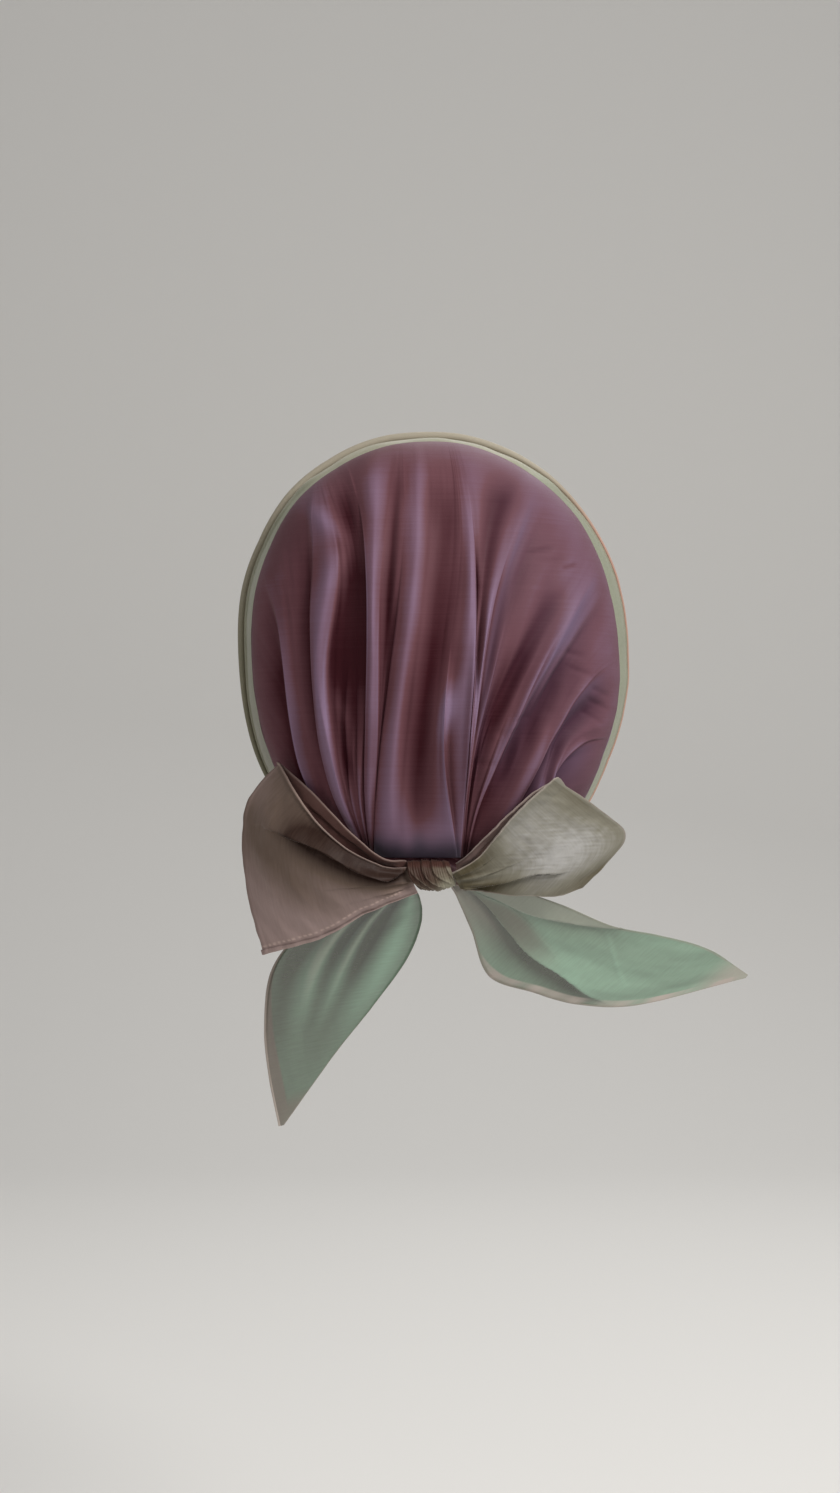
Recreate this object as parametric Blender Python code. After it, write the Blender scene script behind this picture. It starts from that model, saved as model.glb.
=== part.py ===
"""A draped organza turban hat with a bow at the nape, built at its real size.

The crown bulges towards -Y, the face opening looks towards +Y and +Z is up, so the hat
is seen here from behind its wearer. The origin is under the inside top of the crown,
where a head bears. Sizes are in millimetres and each mesh is written in metres.
"""

from math import atan2, ceil, cos, exp, hypot, inf, pi, radians, sin, sqrt

import bmesh
import bpy
from mathutils import Vector

MM = 0.001

# Crown outline in the seam plane y = 0, seen from behind: an egg, rounder at the top.
CROWN_HALF_LEFT = 86.0
CROWN_HALF_RIGHT = 88.0
CROWN_RISE = 92.6
CROWN_DROP = 113.0
CROWN_MIDDLE_Z = -89.7
CROWN_BULGE = 70.0
SQUARENESS = {"lower_left": 2.15, "lower_right": 2.35, "upper_left": 2.2, "upper_right": 1.95}
DOME_POWER = 1.8
DOME_POWER_TOP = 0.5
SLOPE_STEP = 0.5
SLOPE_INSIDE = 0.985
CROWN_WALL = 1.8

# The pleats run from the rim down to the nape edge, a straight fold above the knot.
NAPE_Z = -190.0
NAPE_TUCK = 0.5
PLEAT_REACH = 0.36
PLEAT_START = 0.03
PLEAT_FULL = 0.30
PLEAT_GATHER = 0.74

# One row for each ridge and valley of the pleats, from left to right.
# rim_turn: where the line leaves the rim, in degrees clockwise from the top.
# heading: its direction there, in degrees to the right of straight down.
# nape_x and lean: where it meets the nape edge, and its lean there from straight up.
# height: how far it stands out of the dome half way, nape_height at the nape edge.
PLEAT_COLUMNS = ("rim_turn", "heading", "nape_x", "lean", "height", "nape_height")
PLEATS = {
    "left_edge": (-141, 55, -32.6, -70, 0.0, 0.0),
    "left_ridge": (-68, 26, -31.8, -50, 2.6, 0.2),
    "left_valley": (-43, 1, -31.2, -33, -3.4, 0.0),
    "broad_ridge": (-37, 4, -30.5, -31, 3.4, 0.8),
    "broad_ridge_side": (-32, 4, -29.9, -26, 2.6, 0.4),
    "deep_valley": (-28, 20, -29.4, -12, -5.0, 0.0),
    "tube_ridge": (-24, 18, -28.8, 0, 3.2, 1.6),
    "tube_valley": (-11, -3, -28.2, 4, -3.4, 0.8),
    "panel_ridge": (-6, 7, -27.0, 4, 4.2, 4.8),
    "panel_valley": (3, 5, -12.0, 3, -4.8, 4.6),
    "centre_ridge": (8, 5, 12.6, 5, 4.4, 4.8),
    "centre_valley": (22, -30, 13.8, 12, -4.6, 0.6),
    "right_ridge": (36, -38, 14.5, 8, 3.8, 1.4),
    "right_valley": (44, -28, 15.1, 14, -3.6, 0.4),
    "side_ridge": (61, -32, 15.7, 18, 3.4, 1.0),
    "side_valley": (74, -34, 16.3, 28, -3.0, 0.2),
    "low_ridge": (94, -52, 16.9, 46, 3.2, 0.4),
    "low_valley": (108, -66, 17.5, 58, -2.2, 0.0),
    "last_ridge": (120, -80, 18.1, 66, 2.4, 0.2),
    "right_edge": (143, -60, 18.8, 72, 0.0, 0.0),
}
LEAST_STEPS = 3
WIDEST_STEP = 6.0
UNDERSIDE_COLUMNS = 14
CROWN_ROWS = 15

# Face band: a soft roll of organza round the face opening, behind the crown.
# Each row is one line round the band, given as its distance out from the crown's outline
# and its distance back from the seam plane.
BAND_ROLL = {
    "seam": (-0.9, 0.3),
    "spread": (1.2, 1.6),
    "slope": (4.6, 4.6),
    "shoulder": (7.4, 10.0),
    "widest": (8.6, 17.0),
    "edge": (7.8, 27.0),
}
BAND_WALL = 1.2
BAND_STEPS = 84
BAND_TOP_TRIM = 0.8
BAND_NAPE_SHARE = 0.30
BAND_NAPE_START = 118.0
BAND_NAPE_FULL = 176.0

# Knot: a barrel across the nape, wrapped by three slanting pleats.
KNOT_LEFT = -12.5
KNOT_RIGHT = 9.5
KNOT_CENTRE_Y = -36.0
KNOT_CENTRE_Z = -198.2
KNOT_HALF_DEPTH = 7.4
KNOT_HALF_HEIGHT = 7.4
KNOT_END_SHARE = 0.86
KNOT_SHOULDER = 0.6
KNOT_PLEATS = 3
KNOT_PLEAT_DEPTH = 0.5
KNOT_SLANT = 0.35
KNOT_SIDES = 24
KNOT_RINGS = 13

# Bow: the roots of its loops and tails stop just short of the knot's two ends.
SEAT_GAP = 0.3
BOW_CLOTH = 1.2
FRONT_ROOT_Y = -39.4
BACK_ROOT_Y = -34.6
TAIL_ROOT_Y = -30.6
CLEAR_OF_CROWN = 6.4
CLEARANCE_GROWS = 12.0
LAYER_SPACE = 4.6
CREASE_WIDTH = 0.10
CREASE_SPREAD = 1.15
ROOT_HELD = 0.2
LOOP_COLUMNS = 8
LOOP_ROWS = 9
FOLD_STEPS = 3
TAIL_COLUMNS = 12
TAIL_ROWS = 16
FLUTE_FULL = 0.16
FLUTE_FADES = (0.30, 0.85)

COLOURS = {
    "crown": (0.21, 0.12, 0.17),
    "face_band": (0.42, 0.37, 0.30),
    "bow_knot": (0.17, 0.12, 0.10),
    "bow_loop_left": (0.18, 0.12, 0.10),
    "bow_loop_right": (0.32, 0.29, 0.25),
    "tail_left": (0.24, 0.25, 0.20),
    "tail_right": (0.27, 0.29, 0.24),
}
CLOTH_ROUGHNESS = 0.62
SHARP_ANGLE = 50.0


def smooth(low, high, value):
    """Rise from 0 at low to 1 at high, level at both ends."""
    share = min(1.0, max(0.0, (value - low) / (high - low)))
    return share * share * (3.0 - 2.0 * share)


def mix(first, second, share):
    return first * (1.0 - share) + second * share


def curve(points, share):
    """Point at a share from 0 to 1 of a smooth curve through evenly shared points."""
    last = len(points) - 1
    place = min(share * last, last - 1e-9)
    start = int(place)
    s = place - start
    before = points[start - 1] if start else points[0] * 2.0 - points[1]
    after = points[start + 2] if start + 2 <= last else points[last] * 2.0 - points[last - 1]
    here, there = points[start], points[start + 1]
    return 0.5 * (
        here * 2.0
        + (there - before) * s
        + (before * 2.0 - here * 5.0 + there * 4.0 - after) * s * s
        + (here * 3.0 - before - there * 3.0 + after) * s * s * s
    )


def outline_radius(turn):
    """Distance from the crown's middle to its rim; turn is clockwise from the top."""
    side, up = sin(turn), cos(turn)
    quarter = ("lower" if up < 0.0 else "upper") + ("_left" if side < 0.0 else "_right")
    power = SQUARENESS[quarter]
    across = CROWN_HALF_RIGHT if side > 0.0 else CROWN_HALF_LEFT
    along = CROWN_RISE if up > 0.0 else CROWN_DROP
    return (abs(side / across) ** power + abs(up / along) ** power) ** (-1.0 / power)


def dome_depth(x, z):
    """Height of the smooth dome in front of the seam plane, 0 at and outside the rim."""
    turn = atan2(x, z - CROWN_MIDDLE_Z)
    share = hypot(x, z - CROWN_MIDDLE_Z) / outline_radius(turn)
    power = DOME_POWER + DOME_POWER_TOP * (1.0 + cos(turn)) / 2.0
    return CROWN_BULGE * sqrt(max(0.0, 1.0 - share**power))


def dome_normal(x, z):
    """Outward direction of the dome, turning to lie in the seam plane at the rim."""
    x, z = x * SLOPE_INSIDE, mix(CROWN_MIDDLE_Z, z, SLOPE_INSIDE)
    rise_x = dome_depth(x + SLOPE_STEP, z) - dome_depth(x - SLOPE_STEP, z)
    rise_z = dome_depth(x, z + SLOPE_STEP) - dome_depth(x, z - SLOPE_STEP)
    return Vector((-rise_x, -2.0 * SLOPE_STEP, -rise_z)).normalized()


def pleat_lines():
    """The lines that the crown is built on: the table's rows and steps between them."""
    rows = list(PLEATS.values())
    lines = []
    for first, second in zip(rows, rows[1:]):
        steps = max(LEAST_STEPS, ceil((second[0] - first[0]) / WIDEST_STEP))
        for step in range(steps):
            share = step / steps
            eased = smooth(0.0, 1.0, share)
            line = {}
            for column, low, high in zip(PLEAT_COLUMNS, first, second):
                line[column] = mix(low, high, eased if "height" in column else share)
            lines.append(line)
    return lines + [dict(zip(PLEAT_COLUMNS, rows[-1]))]


def pleat_point(row, share):
    """Point on the draped crown, share 0 at the rim to 1 at the nape edge."""
    turn = radians(row["rim_turn"])
    radius = outline_radius(turn)
    rim = Vector((radius * sin(turn), 0.0, CROWN_MIDDLE_Z + radius * cos(turn)))
    nape = Vector((row["nape_x"], 0.0, NAPE_Z))
    reach = PLEAT_REACH * (nape - rim).length
    heading, lean = radians(row["heading"]), radians(row["lean"])
    leaving = rim + reach * Vector((sin(heading), 0.0, -cos(heading)))
    arriving = nape + reach * Vector((sin(lean), 0.0, cos(lean)))
    left = 1.0 - share
    flat = (
        rim * left**3
        + leaving * (3.0 * left * left * share)
        + arriving * (3.0 * left * share * share)
        + nape * share**3
    )
    gathered = smooth(PLEAT_GATHER, 1.0, share)
    grown = smooth(PLEAT_START, PLEAT_FULL, share)
    height = mix(row["height"] * grown, row["nape_height"], gathered)
    base = Vector((flat.x, -dome_depth(flat.x, flat.z), flat.z))
    outward = dome_normal(flat.x, flat.z)
    upright = outward.lerp(Vector((0.0, -1.0, 0.0)), gathered)
    return base + upright * height, outward


def underside_point(across, share):
    """Point under the nape edge, across from right to left, share 0 at the rim."""
    first, last = PLEATS["right_edge"], PLEATS["left_edge"]
    turn = radians(mix(first[0], last[0] + 360.0, across))
    radius = outline_radius(turn)
    rim = Vector((radius * sin(turn), 0.0, CROWN_MIDDLE_Z + radius * cos(turn)))
    nape = Vector((mix(first[2], last[2], across), 0.0, NAPE_Z - NAPE_TUCK))
    flat = mix(rim, nape, share)
    return Vector((flat.x, -dome_depth(flat.x, flat.z), flat.z)), dome_normal(flat.x, flat.z)


def crown_columns():
    """Outer points and outward directions, a column for each line, once round the rim."""
    shares = [1.0 - cos(pi / 2.0 * row / CROWN_ROWS) for row in range(CROWN_ROWS + 1)]
    lines = pleat_lines()
    columns = [[pleat_point(line, share) for share in shares] for line in lines]
    for index in range(1, UNDERSIDE_COLUMNS):
        across = index / UNDERSIDE_COLUMNS
        columns.append([underside_point(across, share) for share in shares])
    return columns, len(lines)


def zip_faces(upper, lower, vertices):
    """Triangles between two rows of vertices that run the same way and share both ends."""
    faces, i, j = [], 0, 0
    while i < len(upper) - 1 or j < len(lower) - 1:
        upper_next = vertices[upper[i + 1]].x if i < len(upper) - 1 else inf
        lower_next = vertices[lower[j + 1]].x if j < len(lower) - 1 else inf
        if upper_next < lower_next:
            corners = (upper[i], upper[i + 1], lower[j])
            i += 1
        else:
            corners = (upper[i], lower[j + 1], lower[j])
            j += 1
        if len(set(corners)) == 3:
            faces.append(corners)
    return faces


def crown_mesh():
    """Vertices and faces of the crown: outer skin, inner skin, rim and nape edge."""
    columns, pleat_count = crown_columns()
    count, rows = len(columns), CROWN_ROWS + 1
    outer = [point for column in columns for point, _ in column]
    inner = [point - outward * CROWN_WALL for column in columns for point, outward in column]
    vertices = outer + inner
    shift = len(outer)
    faces = []
    for c in range(count):
        here, there = c * rows, (c + 1) % count * rows
        for r in range(CROWN_ROWS):
            quad = (here + r, there + r, there + r + 1, here + r + 1)
            faces.append(quad)
            faces.append(tuple(corner + shift for corner in reversed(quad)))
        faces.append((here, here + shift, there + shift, there))
    last = rows - 1
    upper = [c * rows + last for c in range(pleat_count)]
    tucked = [c * rows + last for c in range(count - 1, pleat_count - 1, -1)]
    lower = [upper[0]] + tucked + [upper[-1]]
    for offset in (0, shift):
        faces += zip_faces([v + offset for v in upper], [v + offset for v in lower], vertices)
    return vertices, faces


def sheet_mesh(grid, wall, ring=False, root_rows=()):
    """Closed solid of a cloth wall around a grid of middle points, rows of columns.

    The end faces of the root rows stay flat, each at the x of its row's middle points.
    """
    rows, columns = len(grid), len(grid[0])
    front, back = [], []
    for r in range(rows):
        for c in range(columns):
            above = grid[(r - 1) % rows if ring else max(r - 1, 0)][c]
            below = grid[(r + 1) % rows if ring else min(r + 1, rows - 1)][c]
            across = grid[r][min(c + 1, columns - 1)] - grid[r][max(c - 1, 0)]
            normal = (below - above).cross(across).normalized()
            if r in root_rows:
                normal.x = 0.0
            front.append(grid[r][c] + normal * wall / 2.0)
            back.append(grid[r][c] - normal * wall / 2.0)
    shift = rows * columns
    faces = []
    for r in range(rows if ring else rows - 1):
        here, there = r * columns, (r + 1) % rows * columns
        for c in range(columns - 1):
            quad = (here + c, here + c + 1, there + c + 1, there + c)
            faces.append(quad)
            faces.append(tuple(corner + shift for corner in reversed(quad)))
        last = columns - 1
        faces.append((here, there, there + shift, here + shift))
        faces.append((here + last, here + last + shift, there + last + shift, there + last))
    if not ring:
        end = (rows - 1) * columns
        for c in range(columns - 1):
            faces.append((c, c + shift, c + 1 + shift, c + 1))
            faces.append((end + c, end + c + 1, end + c + 1 + shift, end + c + shift))
    return front + back, faces


def band_mesh():
    """Face band: a ring whose section rolls out and back, gathered small at the nape."""
    grid = []
    for step in range(BAND_STEPS):
        degrees = -180.0 + 360.0 * step / BAND_STEPS
        turn = radians(degrees)
        gather = smooth(BAND_NAPE_START, BAND_NAPE_FULL, abs(degrees))
        size = mix(1.0, BAND_NAPE_SHARE, gather)
        top_trim = BAND_TOP_TRIM * max(0.0, cos(turn))
        line = []
        for name, (out, back) in BAND_ROLL.items():
            if name != "seam":
                out = (out - top_trim) * size
                back = back * size + BAND_ROLL["seam"][1]
            radius = outline_radius(turn) + out
            line.append(Vector((radius * sin(turn), back, CROWN_MIDDLE_Z + radius * cos(turn))))
        grid.append(line)
    start_back = BAND_ROLL["seam"][1]
    vertices, faces = sheet_mesh(grid, BAND_WALL, ring=True)
    for vertex in vertices:
        vertex.y = max(vertex.y, start_back)
    return vertices, faces


def knot_mesh():
    """Barrel with slanting wrapped pleats and two flat ends."""
    vertices, faces = [], []
    for ring in range(KNOT_RINGS):
        along = ring / (KNOT_RINGS - 1)
        swell = mix(KNOT_END_SHARE, 1.0, abs(sin(pi * along)) ** KNOT_SHOULDER)
        for side in range(KNOT_SIDES):
            angle = 2.0 * pi * side / KNOT_SIDES
            wave = cos(2.0 * pi * KNOT_PLEATS * (along + KNOT_SLANT * sin(angle / 2.0) ** 2))
            depth = KNOT_PLEAT_DEPTH * (wave - 1.0) * sin(pi * along)
            vertices.append(
                Vector(
                    (
                        mix(KNOT_LEFT, KNOT_RIGHT, along),
                        KNOT_CENTRE_Y + (KNOT_HALF_DEPTH * swell + depth) * cos(angle),
                        KNOT_CENTRE_Z + (KNOT_HALF_HEIGHT * swell + depth) * sin(angle),
                    )
                )
            )
    for ring in range(KNOT_RINGS - 1):
        here, there = ring * KNOT_SIDES, (ring + 1) * KNOT_SIDES
        for side in range(KNOT_SIDES):
            after = (side + 1) % KNOT_SIDES
            faces.append((here + side, here + after, there + after, there + side))
    faces.append(tuple(range(KNOT_SIDES)))
    end = (KNOT_RINGS - 1) * KNOT_SIDES
    faces.append(tuple(end + side for side in range(KNOT_SIDES)))
    return vertices, faces


# Each loop is a strip folded back on itself. Its edges are smooth curves through points
# x, y, z: outer runs down the fold from the top tip, top and bottom run from the fold in
# to the knot. Roots are given as the heights of their two ends.
LOOPS = {
    "bow_loop_left": {
        "outer": [
            (-71, -31, -149), (-85, -27, -165), (-88.5, -22, -184), (-86, -20, -208), (-79, -19, -233),
        ],
        "front_top": [(-50.6, -47, -173.5), (-38.5, -49, -184.5), (-23, -44, -189.5)],
        "back_top": [(-52, -42, -161.5), (-37, -43, -174), (-24, -39, -187.8)],
        "front_bottom": [(-58, -29, -228.5), (-34, -35, -217), (-20, -38, -208.5)],
        "back_bottom": [(-58, -24, -228.0), (-34, -29, -216), (-20, -32, -208)],
        "root_x": KNOT_LEFT - SEAT_GAP,
        "front_root": (-193.0, -203.2),
        "back_root": (-191.8, -203.0),
        "fold_radius": (2.0, 4.6),
        "front_bulge": 6.0,
        "back_bulge": 1.0,
        "crease": (0.24, 0.42),
        "crease_depth": 3.0,
    },
    "bow_loop_right": {
        "outer": [
            (54, -47, -155), (71, -39, -166), (86.5, -30, -177.5), (79, -28, -195), (62, -30, -207),
        ],
        "front_top": [(44, -49, -165), (32, -47, -177), (20.5, -43, -187.5)],
        "back_top": [(42, -46, -162.5), (29, -43, -174.5), (17, -39, -187)],
        "front_bottom": [(48, -35, -206.8), (34, -37, -206.2), (21, -38, -205)],
        "back_bottom": [(48, -30, -206.0), (34, -32, -205), (21, -33, -204)],
        "root_x": KNOT_RIGHT + SEAT_GAP,
        "front_root": (-193.2, -203.2),
        "back_root": (-192.2, -202.6),
        "fold_radius": (2.0, 3.6),
        "front_bulge": 5.0,
        "back_bulge": 1.0,
        "crease": (0.86, 0.80),
        "crease_depth": 2.2,
    },
}

# Each tail is one hanging layer. left and right are its two long edges from the knot's
# end to the tip; flutes are the folds that fan out of the knot and fade down the tail.
TAILS = {
    "tail_left": {
        "root_x": KNOT_LEFT - SEAT_GAP,
        "root": (-196.5, -202.6),
        "left": [
            (-34, -19, -210), (-62, 2, -227), (-77, 9, -246),
            (-80.3, 11, -272), (-78.3, 13, -296), (-73.8, 15, -319),
        ],
        "right": [
            (-8.6, -24, -210.5), (-5.6, -14, -222), (-12.6, -2, -239),
            (-28, 6, -261), (-47.5, 10, -286), (-70.6, 15, -317.5),
        ],
        "flutes": 2.0,
        "flute_depth": 4.0,
    },
    "tail_right": {
        "root_x": KNOT_RIGHT + SEAT_GAP,
        "root": (-202.4, -197.0),
        "left": [
            (13.5, -24, -212), (18.5, -10, -227), (25.5, 2, -247), (48, 7, -256),
            (69, 9, -262), (98, 11, -261), (148.5, 13, -249.5),
        ],
        "right": [
            (22, -26, -204), (40, -17, -207), (60, -7, -214), (84, 3, -224.5),
            (107, 8, -229.5), (130, 11, -235.5), (149.5, 13, -248.0),
        ],
        "flutes": 2.5,
        "flute_depth": 4.0,
    },
}


def lay_on_crown(point, clearance):
    """Push a point of the bow forward where the crown behind it comes closer."""
    depth = dome_depth(point.x, point.z)
    if depth > 0.0:
        point.y = min(point.y, -depth - clearance * smooth(0.0, CLEARANCE_GROWS, depth))
    return point


def patch(top, bottom, outer, root):
    """Surface between four edge curves; u runs from outer to root, v from top to bottom."""
    corners = (outer(0.0), outer(1.0), root(0.0), root(1.0))

    def at(u, v):
        across = mix(top(u), bottom(u), v)
        along = mix(outer(v), root(v), u)
        flat = mix(mix(corners[0], corners[1], v), mix(corners[2], corners[3], v), u)
        return across + along - flat

    return at


def loop_layer(shape, side, shift):
    """One layer of a loop, front or back, shifted from the fold line by shift in y."""
    outer_points = [Vector(point) for point in shape["outer"]]
    root_y = FRONT_ROOT_Y if side == "front" else BACK_ROOT_Y
    root_ends = [Vector((shape["root_x"], root_y, z)) for z in shape[side + "_root"]]

    inward = 1.0 if shape["root_x"] > outer_points[0].x else -1.0

    def outer(v):
        radius = mix(*shape["fold_radius"], v)
        return curve(outer_points, v) + Vector((inward, shift, 0.0)) * radius

    def root(v):
        return mix(root_ends[0], root_ends[1], v)

    def edge(name, v):
        points = [outer(v)] + [Vector(point) for point in shape[side + name]] + [root(v)]
        return lambda u: curve(points, u)

    surface = patch(edge("_top", 0.0), edge("_bottom", 1.0), outer, root)
    clearance = CLEAR_OF_CROWN + (LAYER_SPACE if side == "front" else 0.0)

    def at(u, v):
        point = surface(u, v)
        point.y -= shape[side + "_bulge"] * sin(pi * u) * sin(pi * v)
        if side == "front":
            line = mix(*shape["crease"], u)
            fold = exp(-(((v - line) / CREASE_WIDTH) ** 2)) * sin(pi * min(1.0, u * CREASE_SPREAD)) ** 2
            point.y += shape["crease_depth"] * fold
        freed = smooth(0.0, ROOT_HELD, 1.0 - u)
        return mix(point, lay_on_crown(point.copy(), clearance), freed)

    return at


def loop_mesh(shape):
    """Strip from the back root, out round the fold and in again to the front root."""
    back, front = loop_layer(shape, "back", 1.0), loop_layer(shape, "front", -1.0)
    shares = [step / LOOP_ROWS for step in range(LOOP_ROWS + 1)]
    grid = [[back(1.0 - step / LOOP_COLUMNS, v) for v in shares] for step in range(LOOP_COLUMNS + 1)]
    for step in range(1, FOLD_STEPS + 1):
        angle = pi * step / (FOLD_STEPS + 1)
        line = []
        for v in shares:
            first, last = back(0.0, v), front(0.0, v)
            inward = back(1.0 / LOOP_COLUMNS, v) - first
            inward.y = 0.0
            radius = (last - first).length / 2.0
            between = mix(first, last, (1.0 - cos(angle)) / 2.0)
            line.append(between - inward.normalized() * radius * sin(angle))
        grid.append(line)
    grid += [[front(step / LOOP_COLUMNS, v) for v in shares] for step in range(LOOP_COLUMNS + 1)]
    return sheet_mesh(grid, BOW_CLOTH, root_rows=(0, len(grid) - 1))


def tail_mesh(shape):
    """One layer from the root at the knot's end down to the tip."""
    root = [Vector((shape["root_x"], TAIL_ROOT_Y, z)) for z in shape["root"]]
    left = [root[0]] + [Vector(point) for point in shape["left"]]
    right = [root[1]] + [Vector(point) for point in shape["right"]]
    grid = []
    for row in range(TAIL_ROWS + 1):
        down = row / TAIL_ROWS
        depth = shape["flute_depth"] * smooth(0.0, FLUTE_FULL, down) * (1.0 - smooth(*FLUTE_FADES, down))
        line = []
        for column in range(TAIL_COLUMNS + 1):
            across = column / TAIL_COLUMNS
            point = mix(curve(left, down), curve(right, down), across)
            edge = sin(pi * across)
            point.y += depth * edge * sin(2.0 * pi * shape["flutes"] * across)
            line.append(point)
        grid.append(line)
    return sheet_mesh(grid, BOW_CLOTH, root_rows=(0,))


def cloth_material(name):
    material = bpy.data.materials.new(name + "_cloth")
    material.use_nodes = True
    shader = material.node_tree.nodes["Principled BSDF"]
    shader.inputs["Base Color"].default_value = (*COLOURS[name], 1.0)
    shader.inputs["Roughness"].default_value = CLOTH_ROUGHNESS
    shader.inputs["Metallic"].default_value = 0.0
    material.diffuse_color = (*COLOURS[name], 1.0)
    return material


def add_piece(name, shape):
    """One named object from vertices in millimetres and faces, its faces turned outward."""
    vertices, faces = shape
    built = bmesh.new()
    corners = [built.verts.new(vertex * MM) for vertex in vertices]
    for face in faces:
        built.faces.new([corners[index] for index in face])
    bmesh.ops.triangulate(built, faces=[face for face in built.faces if len(face.verts) > 4])
    bmesh.ops.recalc_face_normals(built, faces=built.faces)
    if built.calc_volume(signed=True) < 0.0:
        bmesh.ops.reverse_faces(built, faces=built.faces)
    mesh = bpy.data.meshes.new(name)
    built.to_mesh(mesh)
    built.free()
    mesh.shade_smooth()
    mesh.set_sharp_from_angle(angle=radians(SHARP_ANGLE))
    mesh.materials.append(cloth_material(name))
    piece = bpy.data.objects.new(name, mesh)
    bpy.context.scene.collection.objects.link(piece)
    return piece


def clear_scene():
    for old in list(bpy.data.objects):
        bpy.data.objects.remove(old, do_unlink=True)


def main():
    clear_scene()
    add_piece("crown", crown_mesh())
    add_piece("face_band", band_mesh())
    add_piece("bow_knot", knot_mesh())
    for name, shape in LOOPS.items():
        add_piece(name, loop_mesh(shape))
    for name, shape in TAILS.items():
        add_piece(name, tail_mesh(shape))


main()
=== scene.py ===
"""Looks of the draped turban hat: pleated crown, rolled face band, bow and two tails.

Sizes are in millimetres, and each mesh is written in metres in the frame of the model.
The hat is seen from behind its wearer: the crown bulges towards -Y and +X is to the right.
"""

from math import pi, radians

import bpy
import numpy as np
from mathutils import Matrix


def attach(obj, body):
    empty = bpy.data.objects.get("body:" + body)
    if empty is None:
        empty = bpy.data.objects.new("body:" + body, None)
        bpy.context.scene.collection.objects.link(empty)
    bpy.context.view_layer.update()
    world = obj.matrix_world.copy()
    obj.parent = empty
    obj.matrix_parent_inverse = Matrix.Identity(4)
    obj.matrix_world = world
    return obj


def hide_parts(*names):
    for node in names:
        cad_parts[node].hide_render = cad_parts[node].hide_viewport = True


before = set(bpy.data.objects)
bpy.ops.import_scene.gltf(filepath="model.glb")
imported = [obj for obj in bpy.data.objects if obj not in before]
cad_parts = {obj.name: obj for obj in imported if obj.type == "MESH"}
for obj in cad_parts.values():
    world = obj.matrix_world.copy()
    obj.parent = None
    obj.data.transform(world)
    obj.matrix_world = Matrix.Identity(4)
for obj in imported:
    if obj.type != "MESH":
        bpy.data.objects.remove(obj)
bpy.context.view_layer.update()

MM = 0.001
rng = np.random.default_rng(7)

# Crown outline in the seam plane y = 0: an egg, rounder at the top.
CROWN_HALF_LEFT = 86
CROWN_HALF_RIGHT = 88
CROWN_RISE = 92.6
CROWN_DROP = 113
CROWN_MIDDLE_Z = -89.7
CROWN_BULGE = 70
SQUARENESS = {"lower_left": 2.15, "lower_right": 2.35, "upper_left": 2.2, "upper_right": 1.95}
DOME_POWER = 1.8
DOME_POWER_TOP = 0.5
# How far the soft rim draws in from that outline: degrees clockwise from the top, millimetres.
RIM_EASE = (
    (-180, 0), (-75, 0.4), (-60, 1.2), (-45, 0.5), (-30, 1), (-12, -0.2), (8, -0.1), (30, 1), (50, 1),
    (60, 1.9), (75, 2.7), (84, 2.4), (92, 1.6), (102, 0.3), (111, 0.2), (124, 1.8), (140, 1.2), (180, 0),
)
SLOPE_STEP = 0.5
SLOPE_INSIDE = 0.985

NAPE_Z = -190
PLEAT_REACH = 0.36

# Main fold lines of the crown, from the rim down to the nape edge.
# rim_turn: degrees clockwise from the top; heading: degrees to the right of straight down;
# nape_x, lean: place and lean at the nape edge; swing: sideways S-bend of the line.
# Most of these numbers were fitted by a program to points picked along each fold.
FOLD_PATHS = {
    "left_edge": (-141, 55, -32.6, -70, 0),
    "left_ridge": (-66.2, 26, -31.8, -53, 0.3),
    "broad_edge": (-37.1, 8, -31, -38, -1.2),
    "tube_edge": (-26.6, 25, -28.7, -12, -1.4),
    "tube_right": (-10.5, -2, -28.2, -2, -2.6),
    "panel_edge": (-9.3, 4, -27.6, 3, 0.7),
    "panel_ridge": (-6.3, 8, -20, -2, -0.1),
    "panel_valley": (1.4, 13, -6, -13, -2),
    "centre_ridge": (6.2, 6, 11.8, 8, 2.4),
    "right_ridge": (31.9, -14, 12.9, -7, -3.3),
    "side_ridge": (63.1, -23, 14.9, 4, -1.7),
    "low_ridge": (96, -66, 16.9, 54, 0),
    "last_ridge": (119.6, -85, 18.1, 72, -2.8),
    "right_edge": (143, -60, 18.8, 72, 0),
}
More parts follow.
